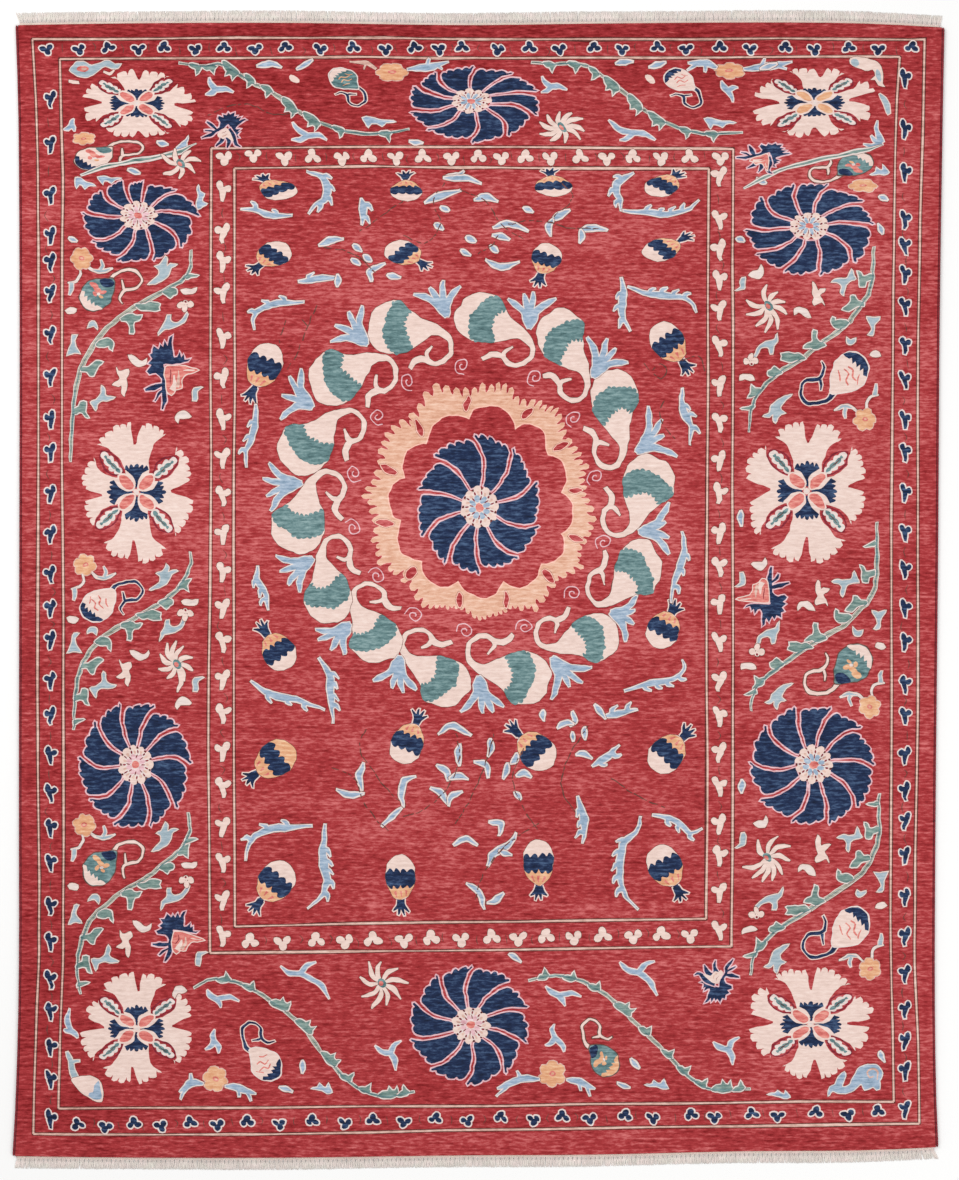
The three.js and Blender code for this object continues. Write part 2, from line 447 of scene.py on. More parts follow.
# -- ivory crosses: four fringed fan petals, navy buds, coral ovals and leaf sprays between them
NAVY_BUD = np.vstack([
    line([(-0.3, 1.2), (-0.4, 3), (-1.3, 4.7), (-3.3, 6.1)]),
    frill([(-3.1, 6.4), (-1.8, 6.5), (0, 7), (1.8, 6.5), (3.1, 6.4)], 5, 1.0, finger=0.9),
    line([(3.3, 6.1), (1.3, 4.7), (0.4, 3), (0.3, 1.2)]),
])
LEAF_SPRAY = [
    ("madder", stroke([(0, 4.4), (0.1, 7), (0.1, 10), (0, 13.6)], [0.4, 3.6, 4.6, 4.2, 1.0])),
    ("wine", stroke([(0, 5), (-1.6, 7.4), (-2, 9.8), (-1.3, 12), (0.1, 13.2)], [0.36, 0.44, 0.36])),
    ("wine", stroke([(0, 5), (1.5, 7.4), (1.9, 9.8), (1.3, 12), (0.1, 13.2)], [0.36, 0.44, 0.36])),
    ("mist", np.vstack([
        frill([(0, 5.8), (-0.8, 7.6), (-1, 9.6), (-0.7, 11.4), (0.1, 12.8)], 4, 0.5, 0.5, 0.9),
        frill([(0.1, 12.8), (0.8, 11.4), (1, 9.6), (0.8, 7.6), (0, 5.8)], 4, 0.5, -0.5, 0.9),
    ])),
    ("teal", frill([(0, 6.2), (0.3, 8), (0.3, 10), (0.1, 11.8), (-0.25, 10), (-0.3, 8), (0, 6.2)], 7, -0.3)),
    ("umber", stroke([(0, 7.6), (0.05, 9), (0.1, 10.6)], [0.1, 0.25, 0.1])),
]


def fingers(tips, middle, longest, share, fat=0.86):
    """A row of round fingers with narrow clefts between them, all pointing away from a middle."""
    tips = [np.array(t, float) for t in tips]
    outline = []
    for i, tip in enumerate(tips):
        inward = np.array(middle) - tip
        inward /= np.linalg.norm(inward)
        for side in (-1, 1):
            if not 0 <= i + side < len(tips):
                if side < 0:
                    outline.append(tip)
                continue
            half = (tips[i + side] - tip) / 2
            apart = np.linalg.norm(half) * 2
            deep = min(longest, (share(tip) if callable(share) else share) * apart)
            aside = half - inward * np.dot(half, inward)
            aside /= np.linalg.norm(aside) + 1e-9
            flank = tip + inward * deep * 0.62 + half * fat
            shoulder = tip + inward * 0.22 * deep + aside * apart * 0.42 * fat
            cleft = tip + half + inward * deep
            outline += [cleft, flank, shoulder, tip] if side < 0 else [shoulder, flank]
    return outline


def fan(left, slit, right):
    """One petal: out along one side, finger by finger past its slit, and back."""
    axis = np.array(slit) / np.linalg.norm(slit)
    across = np.array([-axis[1], axis[0]])
    outline = []
    for end, tips in ((1, left), (-1, right)):
        tips = [np.array(t) for t in (tips if end > 0 else tips[::-1])]
        root = axis * 2.6 + across * end * 3.0
        side = tips[0] - root
        inward = axis * np.dot(side, across * end) - across * end * np.dot(side, axis)
        bend = [root, root + side * 0.4 + inward * 0.12, root + side * 0.76 + inward * 0.14]
        places = [tips[0]]
        for last, tip in zip(tips, tips[1:]):
            parts = max(1, round(np.linalg.norm(tip - last) / 2.1))
            for i in range(1, parts + 1):
                place = last + (tip - last) * i / parts
                places.append(place if i == parts else place * (1 + knotter.uniform(0.01, 0.04)))
        half = bend + fingers(places, axis * -6, 1.35, 0.75)
        if end > 0:
            outline += half + [np.array(slit) + across * 0.25]
        else:
            outline += [np.array(slit) - across * 0.25] + half[::-1]
    return line(outline, True, 0.7)


def cross_flower(x, y, wide, tall, ovals, *petals):
    """The petals go round from the top one, clockwise, each with its finger tips and its slit."""
    for left, slit, right in petals:
        knot([("ivory", fan(left, slit, right))], x, y)
    squat = max(tall, 0.62)
    for turn, across, along in ((0, wide, tall), (90, squat, wide), (180, wide, tall), (270, squat, wide)):
        knot([("indigo", NAVY_BUD)], x, y, turn, across * 0.97, along * 0.97)
    for diagonal in (45, 135, 225, 315):
        lean = diagonal - 90 + knotter.uniform(-4, 4)
        spray = [(dye, turned(o, lean)) for dye, o in LEAF_SPRAY]
        knot(spray, x, y, 0, wide * 1.08, squat * 1.08)
    for diagonal in (45, 135, 225, 315):
        shape = [(ovals, turned(oval(0, 3.7, 1.3, 2.5, 0, 14), diagonal - 90))]
        knot(shape, x, y, 0, wide, squat, rim=0.42, rim_dye="ivory")
    knot([("ivory", oval(0, 0, 0.9, 0.9, 0, 8)), ("mist", oval(0, 0, 0.5, 0.5, 0, 6))], x, y)


cross_flower(
    -90.6, 129.1, 0.96, 0.5, "coral",
    ([(-6.9, 6.9), (-4.2, 8.4), (-1.1, 8.9)], (0.5, 6.4), [(2.2, 8.9), (5, 8.3), (8.6, 7.1)]),
    ([(10.8, 5.1), (12.8, 3.3), (15.6, 0.3)], (10, -0.3), [(15, -2.5), (14.7, -4.4), (11.7, -6.4)]),
    ([(8.6, -7.8), (5, -8.6), (2.2, -9.2)], (0.4, -7.2), [(-1.1, -8.9), (-5.3, -8.9), (-9.2, -5.6)]),
    ([(-10.8, -5), (-13.6, -3.6), (-14.2, -1.4)], (-9.4, 0.3), [(-14.4, 1.7), (-13.6, 3.3), (-10.1, 5.1)]))
cross_flower(
    89.1, 129.3, 1.03, 0.5, "ochre",
    ([(-6.7, 8.1), (-3.3, 9.2), (-0.3, 8.9)], (1.4, 6.7), [(3.6, 9.2), (6.1, 8.9), (8.1, 7.5)]),
    ([(12.2, 5.8), (16.1, 3.1)], (9.2, 0.6), [(14.7, -0.8), (14.7, -3.9), (12.2, -5)]),
    ([(8.1, -7.2), (5.4, -8.6), (2.8, -8.9)], (0, -6.7), [(-1.6, -8.9), (-4.4, -9.2), (-8.6, -7.8)]),
    ([(-11.7, -6.1), (-15.6, -4.4), (-16.4, -2.2)], (-9.4, 0), [(-16.1, 1.7), (-14.4, 3.9), (-9.7, 6.4)]))
cross_flower(
    -90.7, 25.9, 1.0, 1.0, "coral",
    ([(-10.6, 12.8), (-7.8, 16.1), (-5.3, 17.8), (-3.6, 18.1), (-1.7, 18.8)], (-0.6, 12.5),
     [(1.4, 17.8), (3.3, 18.3), (5.6, 17.7), (7.8, 15.4)]),
    ([(10.6, 12.2), (13.9, 8.9), (14, 6.7), (14.2, 3.3)], (9.2, 0.3),
     [(15.1, -2.2), (13.9, -6.7), (10.3, -11.7)]),
    ([(7.8, -15), (4.2, -18.3), (0.6, -18.3)], (-0.6, -12.8), [(-2.2, -17.8), (-6.1, -16.9), (-8.6, -13.6)]),
    ([(-10.8, -10), (-13.3, -6.1), (-13.6, -2.2)], (-9.2, -0.8),
     [(-13.6, 0.8), (-14.6, 3.9), (-12.8, 7.8), (-11.4, 9.2)]))
cross_flower(
    87.1, 26.3, 1.05, 1.02, "coral",
    ([(-8.4, 14.4), (-5, 17.8), (-3.1, 18.3), (-1.1, 18.3)], (0.3, 12.8),
     [(2.8, 17.8), (4.7, 17.8), (6.4, 17.5), (9.4, 13.9)]),
    ([(11.9, 11.7), (14.4, 9.4), (15.3, 3.3)], (10.8, 1.1), [(15, -0.2), (15.3, -3.9), (11.7, -8.9)]),
    ([(10.3, -13.3), (5.6, -18.3), (1.1, -18.9)], (-0.1, -12.2),
     [(-2.2, -18.6), (-6.7, -17.8), (-9.4, -15.3)]),
    ([(-12.5, -11.9), (-14.7, -9.2), (-15, -3.1)], (-9.7, 0.3), [(-16.1, 3.3), (-15.8, 8.3), (-11.1, 11.9)]))
cross_flower(
    -90.7, -116.3, 0.98, 0.8, "coral",
    ([(-8.9, 10.3), (-6.1, 13.9), (-3.6, 14.6), (-0.8, 14.9)], (0.4, 10),
     [(1.6, 14.6), (3.9, 14.6), (6.1, 13.6), (7.8, 11.8)]),
    ([(10.1, 9.6), (13.6, 7.5), (14.4, 3.3)], (9.4, 0.8), [(14.6, -1.1), (13.3, -6.7), (10, -9.4)]),
    ([(6.7, -11.7), (4.4, -13.3), (0.6, -14.7)], (-1, -10.3), [(-1.9, -14.2), (-5.8, -13.9), (-8.9, -10.6)]),
    ([(-11.7, -8.6), (-14.7, -3.9), (-15, -1)], (-8.6, 0.3), [(-12.8, 2.8), (-13.1, 5.6), (-10, 7.7)]))
cross_flower(
    88.2, -115.2, 1.06, 0.8, "coral",
    ([(-10, 12.2), (-7.2, 14.2), (-3.9, 14.4), (-1.4, 14.7)], (0, 9.2),
     [(1.7, 15), (5.6, 14.7), (7.2, 13.3), (10.6, 10.8)]),
    ([(11.7, 7.5), (16.4, 4.2), (15.6, 1.4)], (9.7, 0.3), [(15.3, -0.8), (15, -3.9), (11.7, -7.2)]),
    ([(9.7, -9.7), (6.4, -13.3), (2.8, -14.4)], (1, -9.4), [(-1.1, -14.2), (-5, -13.6), (-7.5, -11.1)]),
    ([(-10.8, -8.9), (-14.7, -5.8), (-16.4, -1.4)], (-10, 0.6), [(-15.8, 2.8), (-15.6, 7.5), (-11.8, 10)]))
rosette(-1.9, 129.7, (16.4, 18.1, 10.8, 9.1), -1,
        [(13, 22, 28), (51, 57, 58), (85.5, 91.5, 94), (122, 135, 133), (152, 162.5, 166),
         (191.5, 201.5, 202.5), (221, 236, 234.5), (267.5, 279, 281.5), (300.5, 314.5, 319.5),
         (336, 351, 346)],
        (5, 3.1), "sky")
rosette(-2.0, -115.4, (15.9, 15.3, 15.6, 15.5), -1,
        [(15.5, 23.5, 30), (47, 58, 65.5), (86.5, 98.5, 99), (120.5, 130, 129.5), (155, 165, 165.5),
         (191.5, 199, 200.5), (225.5, 238.5, 243.5), (264, 274, 274), (303, 317, 317), (340, 347.5, 350.5)],
        (4.8, 4.7))
rosette(-90.2, 99.3, (14.9, 15.2, 12.3, 8.5), -1,
        [(-3.5, 11.5, 19), (47, 54.5, 49.5), (82.5, 82.5, 81.5), (103, 106, 108), (128, 139.5, 138),
         (170, 181.5, 184), (210.5, 225.5, 225.5), (246, 258.5, 260.5), (283, 290.5, 294), (314.5, 331, 331)],
        (4.8, 3.7), tips=(1.0, 1.0, 1.0, 1.0, 1.0, 1.13, 1.06, 1.0, 1.02, 1.0))
rosette(87.7, 96.5, (16.4, 16.9, 13.1, 11.3), -1,
        [(-1, 7.5, 11.5), (32, 43, 47), (71, 79, 77.5), (101.5, 111.5, 115.5), (135.5, 153.5, 155),
         (181.5, 186.5, 187.5), (210.5, 222, 225.5), (243.5, 252.5, 257.5), (277.5, 285.5, 293),
         (312, 328.5, 332)],
        (4.9, 3.5), "sky")
rosette(-90.9, -46.3, (14.9, 14.6, 16.9, 16.4), -1,
        [(-1, 11.5, 14), (36.5, 46, 47), (68, 78.5, 81.5), (103, 110.5, 111.5), (133, 145, 146),
         (170.5, 184, 186.5), (211, 224.5, 224.5), (245, 258, 257.5), (283, 291.5, 293), (314.5, 327, 333.5)],
        (4.4, 5.1))
rosette(88.9, -46.3, (17.1, 16.2, 15.9, 15.5), -1,
        [(-2.5, 7.5, 11.5), (37, 48.5, 49.5), (71, 79, 82.5), (104, 110.5, 114), (136, 148.5, 149.5),
         (175, 187.5, 186.5), (213, 223, 224.5), (247.5, 258.5, 255), (281.5, 288, 289), (313, 327, 331)],
        (4.9, 4.9), "sky")

# -- the medallion: a peach feather ring round the middle rosette, then fourteen paisleys
RING = (0, 23.7)
RING_EDGE = [
    (-2.6, 45.1), (-1.2, 47.6), (1.1, 48.5), (3.6, 48.8), (5.8, 48.2), (7.7, 46.9), (9.1, 44.7),
    (9.9, 42.3), (10.8, 43.3), (12.7, 44), (14.6, 43.7), (16.4, 42.6), (17.7, 40.1), (17.8, 37.6),
    (18.2, 35.8), (20.2, 35.1), (22.1, 33.8), (23, 31.9), (23.2, 29.4), (22.7, 27.3),
    (21.8, 25.7), (23.6, 24.6), (24.8, 22.5), (24.9, 20), (24.6, 17.8), (23.6, 16),
    (21.6, 14.9), (22.4, 14), (22.7, 12.4), (22.4, 10.3), (21.1, 8.4), (18.6, 7.1),
    (16.6, 7), (16.1, 5.3), (15.2, 3.2), (13.6, 1.8), (11.8, 0.9), (9.9, 0.7), (7.9, 1.4),
    (6.6, 2.3), (4.9, -0.4), (3.3, -1.6), (1.4, -2.1), (-0.3, -1.7), (-2.4, -0.7), (-4, 0.6),
    (-5.4, 2.4), (-6.4, 1.6), (-8.1, 0.8), (-10.3, 1), (-11.8, 1.7), (-13.4, 2.8), (-14.6, 4.4),
    (-15.1, 7.8), (-17.1, 8.1), (-19, 9), (-20.6, 10.2), (-21.2, 13), (-21.2, 15.4),
    (-20.3, 18.5), (-22.2, 19.4), (-23.2, 21.3), (-23.7, 24), (-23.5, 26.2), (-22.4, 27.9), (-20.9, 29.1),
    (-19.5, 29.6), (-20, 32.9), (-19.6, 35.3), (-18.7, 36.9), (-17.1, 38), (-15.3, 38.5),
    (-13.6, 38.7), (-13.2, 40.4), (-12.4, 42.6), (-10.9, 44.4), (-9, 45.8), (-6.8, 46.3), (-4.6, 46),
]
FEATHER_TIPS = [
    (-3.4, 53.7), (-1, 53.7), (0.9, 54.8), (3.6, 54.4), (5.5, 55.1), (7.2, 54.8), (9, 53.6), (10.6, 51.4),
    (12.3, 50.7), (15, 50.4), (16.7, 50.2), (18, 49.2), (19.7, 48.7), (21.1, 48.2), (22.1, 46.6),
    (22.7, 44.4), (23.2, 42.4), (24.8, 39.8), (26.2, 37.9), (27.2, 36.4), (27.8, 34.2), (29.4, 33.1),
    (28.4, 31), (28.3, 29.2), (28.6, 27.4), (28.6, 25.4), (29.6, 23.6), (30.6, 21.6), (31.3, 18.7),
    (30.4, 16.4), (29.9, 14.6), (28.6, 12.6), (27.4, 10.8), (27.2, 9), (26.6, 7.4), (27.8, 5.8),
    (25.5, 4.4), (23.2, 3.3), (21.2, 2.6), (20.2, 0.8), (18.4, -1.5), (17.3, -3.1), (15.4, -5.6),
    (13.4, -4.9), (11.6, -5.6), (9.9, -4.8), (8.6, -4.9), (7.3, -5.9), (5.9, -6.3), (4.6, -6.9), (3.1, -7.3),
    (1.8, -7.8), (0.3, -8), (-1.2, -7.4), (-2.8, -6.3), (-4.5, -5.4), (-5.9, -4.9), (-7.2, -4.6), (-8.4, -5),
    (-9.9, -4.7), (-11.3, -4.9), (-12.8, -4.9), (-14.7, -4.5), (-16.6, -2.7), (-18, -0.1), (-20.4, 2.2),
    (-19.8, 3.6), (-22.5, 4.1), (-23.6, 5.2), (-26.7, 7), (-27.3, 9.3), (-27, 11.3), (-28.4, 13.1),
    (-27.8, 15.4), (-28.2, 18.4), (-29, 20.8), (-29.4, 23.4), (-31, 24.8), (-29.9, 26.8), (-28.6, 28.6),
    (-27.6, 31.1), (-26.8, 34.1), (-26.6, 37.4), (-25.6, 39.4), (-24.9, 41.7), (-23, 43.6), (-21, 45.1),
    (-18.2, 44.9), (-18.3, 46.7), (-15.9, 49.2), (-14.3, 52.4), (-11.4, 54.8), (-8.9, 54.3), (-6, 53.5),
]


def cleft_share(tip):
    """How deep the clefts beside a feather are for their width: deeper up the ring."""
    return 0.75 + 0.025 * max(0, min(30, tip[1] - 12))


feathers = fingers(FEATHER_TIPS[-1:] + FEATHER_TIPS + FEATHER_TIPS[:1], RING, 2.5, cleft_share, 0.6)
feathers = line(feathers[3:-4], True, 0.7)
knot([("peach", feathers)], rim=0.1, rim_dye="shell")
ring_edge = []
CORNERS = [
    (-2.6, 45.1), (9.9, 42.3), (18.2, 35.8), (21.8, 25.7), (21.6, 14.9), (16.6, 7), (6.6, 2.3), (-5.4, 2.4),
    (-15.1, 7.8), (-20.3, 18.5), (-19.5, 29.6), (-13.6, 38.7),
]
corner = [RING_EDGE.index(place) for place in CORNERS]
for first, last in zip(corner, corner[1:] + [len(RING_EDGE)]):
    ring_edge.append(line((RING_EDGE + RING_EDGE[:1])[first:last + 1], step=0.8)[:-1])
ring_edge = np.vstack(ring_edge)
knot([("madder", ring_edge)], rim=0.32, rim_dye="shell")
for x, y, wide, tall, turn in (
    (-3.1, 49.4, 1.6, 4.0, -12), (12.8, 46.8, 1.7, 3.6, -45), (21.8, 38.1, 1.7, 4.0, -64),
    (25.8, 26.5, 1.3, 3.2, -85), (25.8, 13.8, 1.5, 3.8, -105), (18.6, 3.7, 2.2, 3.8, -140),
    (7.3, -2.6, 1.2, 4.1, 0), (-5.1, -2.6, 1.5, 4.1, 5), (-17.9, 4.7, 2.4, 3.6, -40),
    (-24.9, 17.7, 1.8, 4.6, 86), (-24.0, 31.9, 1.9, 4.6, 63), (-15.8, 43.0, 1.6, 4.6, 18),
):
    slit = stroke([(0, -0.5), (0.03, -0.2), (0.03, 0.2), (0, 0.5)], [0.3, 0.95, 1.0, 0.9, 0.2], 0.12)
    knot([("madder", slit)], x, y, turn, wide, tall, rim=0.24, rim_dye="shell", edge=0.08)
rosette(0.3, 21.9, (16.6, 15.9, 17.5, 18.9), 1,
        [(23, 13.5, 13), (58, 47, 44.5), (97.5, 83.5, 82.5), (137, 125.5, 122.5), (167.5, 162.5, 160.5),
         (208, 195.5, 194), (239.5, 233, 233.5), (272.5, 265, 261.5), (313, 298, 294), (346, 334.5, 334)],
        (4.9, 5.4), "sky")

BODY = [(-6.3, 0), (-5.2, 0.1), (-2.6, -0.1), (0.2, 0), (3.6, 0.9), (6.8, 2.6), (9.8, 4.4), (12.4, 4.9),
        (15.4, 4.2), (17, 1.4), (16.3, -1.4), (14.3, -3.1), (11.8, -3.2), (9.8, -4.6), (9.3, -7.3)]
GIRTH = [(0, 1), (0.35, 4.6), (1.1, 7.8), (2.3, 10.7), (4, 13), (6.5, 14.2), (9, 12.9), (11.5, 9.9),
         (14, 6.5), (17.2, 3.3), (19.8, 1.9), (23, 1.2), (32, 1.2), (36.5, 1.7), (39, 1.2), (41.5, 0.4)]


def paisley(turn, left_end, right_end, low_end, high_end):
    """An ivory comma with a teal band round its belly, a long curling tail and an inner hook.
    It is turned first, then fitted between its ends, for the knots are taller than they are wide."""
    middle = line(BODY)
    left, right = sides(middle, np.interp(travelled(middle), *np.transpose(GIRTH)))
    body = np.vstack([left, right[::-1]])

    def near(side, x, y):
        """Which point of a side is nearest to a place."""
        return int(np.argmin(np.linalg.norm(side - (x, y), axis=1)))

    top = near(left, -1.5, 7.6), near(left, 3.3, 7.4)
    low = near(right, 5.0, -5.1), near(right, 7.0, -1.7)
    tail_side = [left[top[1]], (2.4, 5.2), (2.2, 2.6), (3.2, 0.9), (4.9, -0.5), right[low[1]]]
    head_side = [right[low[0]], (3.2, -5.6), (1.4, -4.9), (-0.2, -3.6), (-1.5, -2), (-2, 0.2), (-2.4, 2.8),
                 (-2.3, 5.4), left[top[0]]]
    band = np.vstack([
        left[top[0]:top[1]],
        frill(tail_side, 9, 0.6, finger=0.8, uneven=0.5)[1:-1],
        right[low[0]:low[1] + 1][::-1],
        frill(head_side, 12, 0.35, finger=0.8, uneven=0.6)[1:-1],
    ])
    hook = stroke([(12.4, -3.1), (11.6, -1.9), (11.7, 0.6)], [1.3, 1.0, 0.5])
    body, hook, band = (turned(shape, turn) for shape in (body, hook, band))
    least, most = body.min(0), body.max(0)
    size = np.array([right_end - left_end, high_end - low_end]) / (most - least)
    body, hook, band = ((shape - least) * size + (left_end, low_end) for shape in (body, hook, band))
    knot([("ivory", body), ("ivory", hook)], edge=0.14)
    chart.append(("teal", band))


def sky_fan(base, *tips):
    """A pale blue palm leaf with four long fingers, between two paisleys."""
    base = np.array(base, float)
    tips = np.array(tips, float)
    axis = tips.mean(0) - base
    axis /= np.linalg.norm(axis)
    shapes = []
    for tip in tips:
        reach = tip - base
        along = axis * np.linalg.norm(reach)
        palm = base + 0.34 * (0.6 * along + 0.4 * reach)
        bend = base + 0.66 * (0.3 * along + 0.7 * reach)
        shapes.append(("sky", stroke([base, palm, bend, tip], [1.0, 2.3, 2.5, 1.7, 1.3, 1.4, 1.2, 0.4])))
    knot(shapes, rim=0.26, rim_dye="mist", edge=0.1)


PAISLEYS = [
    (0, -45.1, -21.2, 48.4, 63.8), (-28, -29.4, -6.6, 58.3, 76.8), (-50, -6.6, 15.1, 59.1, 78.9),
    (-78, 15.4, 29.6, 49.7, 74.8), (-102, 27.7, 42.6, 31.7, 58.6), (-134, 32.3, 52.0, 13.8, 36.1),
    (-163, 28.4, 48.6, -4.6, 13.6), (-190, 14.6, 37.3, -19.3, -4.3), (-216, -3.5, 19.3, -30.4, -11.4),
    (-241, -21.0, -1.9, -31.0, -10.0), (-266, -34.3, -20.2, -19.4, 2.2), (-285, -46.4, -31.1, -8.8, 14.8),
    (-312, -54.9, -35.0, 9.4, 32.1), (-337, -53.4, -29.7, 30.4, 48.3),
]
for row in PAISLEYS:
    paisley(*row)
FANS = [
    [(-29.5, 65), (-39, 66), (-37.8, 70.3), (-34.4, 73.8), (-30.8, 75.2)],
    [(-8.5, 72.5), (-17, 78.5), (-13, 80), (-9.4, 82), (-5, 80.3)],
    [(-44, 48.5), (-52.5, 45.5), (-52, 51.5), (-50, 56.5), (-47, 58.5)],
    [(13.5, 69.5), (8, 77), (12, 78.5), (14.7, 79), (20.5, 77.3)],
    [(30.5, 56.5), (29, 67), (34, 66.5), (36.5, 64), (39.5, 60.5)],
    [(42, 36.5), (45, 48.5), (48.5, 45), (49, 41), (52.5, 35.5)],
    [(-47, 28.5), (-55.5, 33.5), (-57, 29.5), (-56, 25), (-55, 21)],
    [(-44, 8.5), (-53.5, 9), (-52.5, 5), (-50.5, 1.5), (-47.5, -0.5)],
    [(-34, -9), (-43, -10.5), (-42.5, -13), (-39, -15.8), (-35.5, -17)],
    [(-21, -17.5), (-28, -24), (-23, -26), (-20, -27), (-16.5, -26.5)],
    [(0, -23), (-4.5, -32.3), (1, -32.5), (4, -32.3), (6.5, -30.8)],
    [(42.5, 15.5), (50.5, 23), (49.5, 18), (50.5, 14), (50.5, 9.5)],
    [(35, -6), (42, -1.5), (41.5, -5.5), (41, -9), (39, -13.5)],
    [(19.5, -18), (30, -20.5), (27.5, -24.5), (24, -25.5), (19.5, -29)],
]
for row in FANS:
    sky_fan(*row)
SPIRALS = [
    (-4.3, 59.5), (-18.7, 55.3), (-26.7, 46), (-33, 31), (-33.3, 16.5), (-27, 3.7), (-17, -6.7),
    (-3.5, -10.8), (12.3, -9.7), (25, -0.8), (33.3, 12.7), (31, 30), (25.3, 45.5), (15, 56.5),
]
for x, y in SPIRALS:
    turn = math.degrees(math.atan2(y - RING[1], x - RING[0]))
    curl = [((0.35 + 0.2 * t) * math.cos(0.9 * t), (0.3 + 0.17 * t) * math.sin(0.9 * t)) for t in range(12)]
    knot([("blush", stroke(curl, [0.3, 0.3, 0.3, 0.24], 0.5))], x, y, turn * 0.5 + 30)


# -- pomegranates: a leafy crown, an ochre cap, a navy scalloped belt and an ivory dome
def pomegranate(x, y, crown_x, crown_y, wide, tall, squash=1.0, dome="ivory"):
    """The crown points from the middle of the fruit to the crown's own place. The knots of the
    last-woven rows are flatter, which squashes the fruit."""
    turn = math.degrees(math.atan2((crown_y - y) / squash, crown_x - x)) - 90
    prongs = [stroke([(0.3 * k, -2.3), (0.5 * k, -0.6), (tip, rise)], [0.9, 1.15, 0.3])
              for k, tip, rise in ((-1.5, -2.2, 0.9), (-0.5, -0.7, 1.9), (0.5, 0.9, 1.8), (1.5, 2.2, 0.7))]
    neck = stroke([(0, -3), (0, -1.2)], [1.2, 2.0])
    knot([("indigo", turned(shape, turn)) for shape in prongs + [neck]],
         crown_x, crown_y, tall=squash, rim=0.3, rim_dye="ivory")
    waves = np.linspace(-1, 1, 31)

    def level(base, bump):
        """A scalloped line across the fruit, at a share of its height."""
        v = base + bump * np.abs(np.sin(2.0 * math.pi * (waves + 1))) ** 0.8
        return np.stack([wide * waves * np.sqrt(1 - v * v) * (1 - 0.1 * v), tall * v], 1)

    def flank(low, high, side):
        """The fruit's own side between two heights."""
        v = np.linspace(low, high, 9)
        return np.stack([side * wide * np.sqrt(1 - v * v) * (1 - 0.1 * v), tall * v], 1)

    a = np.linspace(0, 2 * math.pi, 30, endpoint=False)
    egg = np.stack([wide * np.cos(a) * (1 - 0.1 * np.sin(a)), tall * np.sin(a)], 1)
    cap = np.vstack([flank(0.1, 1, 1), flank(1, 0.1, -1)[1:]])
    belt = np.vstack([level(-0.2, -0.19), flank(-0.2, 0.32, 1)[1:-1], level(0.32, 0.18)[::-1],
                      flank(0.32, -0.2, -1)[1:-1]])
    shapes = [(dome, egg), ("ochre", cap), ("indigo", belt)]
    for k in (-0.42, 0.0, 0.42):
        shapes.append(("coral", stroke([(k * wide * 0.7, tall * 0.86), (k * wide, tall * 0.6)], [0.2, 0.7])))
    knot([(dye, turned(shape, turn)) for dye, shape in shapes], x, y, tall=squash, edge=0.12)


POMEGRANATES = [
    (-53.3, 106.1, -57.3, 109.3, 4.8, 5.4, 0.5), (-19.2, 105.9, -19.3, 110.2, 4.15, 5.4, 0.5),
    (19.9, 107.1, 19, 110.9, 4.9, 5.2, 0.52), (48.7, 107.2, 52.8, 110.2, 4.2, 5.2, 0.6),
    (-54.3, 89, -59.4, 85.2, 4.3, 5.0, 0.72), (-20, 89.4, -14.3, 86.2, 4.5, 5.2, 0.66),
    (18, 87.9, 16, 82, 3.9, 4.5, 0.9), (48.6, 90.3, 55.2, 93.6, 4.4, 5.4, 0.62),
    (-56.8, 59.6, -60.5, 51.4, 4.5, 6.1), (50.3, 65.7, 55.3, 58.9, 4.3, 5.8),
    (-53.0, -16.4, -57.3, -10, 4.3, 5.2), (49, -10.6, 52, -4.6, 4.3, 5.0),
    (-53.9, -44.9, -60.6, -50, 4.6, 5.9, 1, "ochre"), (-18.9, -40.7, -15.8, -33.4, 4.2, 5.6),
    (15.3, -42.7, 9, -36.6, 4.6, 5.7), (50.0, -43.4, 55.5, -37.6, 4.5, 5.6),
    (-53.8, -77.3, -59.2, -84.2, 4.7, 5.8), (-20.7, -76.2, -20.5, -84.4, 3.95, 6.0),
    (15.9, -72.2, 16, -80.3, 4.0, 6.1), (49.5, -73.2, 53.5, -80.7, 4.5, 5.8),
]
for row in POMEGRANATES:
    pomegranate(*row)


# -- saz leaves and little leaves of the field
def saz(points, width, teeth, side):
    """A long curved leaf, drawn from its stem; hooked teeth hang along one side (1 is the left)."""
    run = line(points, step=0.5)
    way = headings(run)
    shapes = [stroke(points, [0.3, width * 0.5, width, width * 1.05, width * 0.7, 0.5, 0.15])]
    for t in np.linspace(0.3, 0.76, teeth):
        i = int(t * (len(run) - 1))
        out = np.array([-way[i][1], way[i][0]]) * side
        reach = width * 0.5 + knotter.uniform(0.8, 1.3)
        tip = run[i] + out * reach + way[i] * reach * 0.7
        bend = run[i] + out * reach * 0.6 + way[i] * 0.1
        shapes.append(stroke([run[i], bend, tip], [width * 0.9, 0.85, 0.12]))
    knot([("sky", shape) for shape in shapes], rim=0.3, rim_dye="mist", edge=0.13)


def leaf(points, width):
    """A small plain leaf."""
    full = width - 0.35
    knot([("sky", stroke(points, [0.2, full * 0.85, full, full * 0.6, 0.12], 0.45))],
         rim=0.38, rim_dye="mist", edge=0.13)


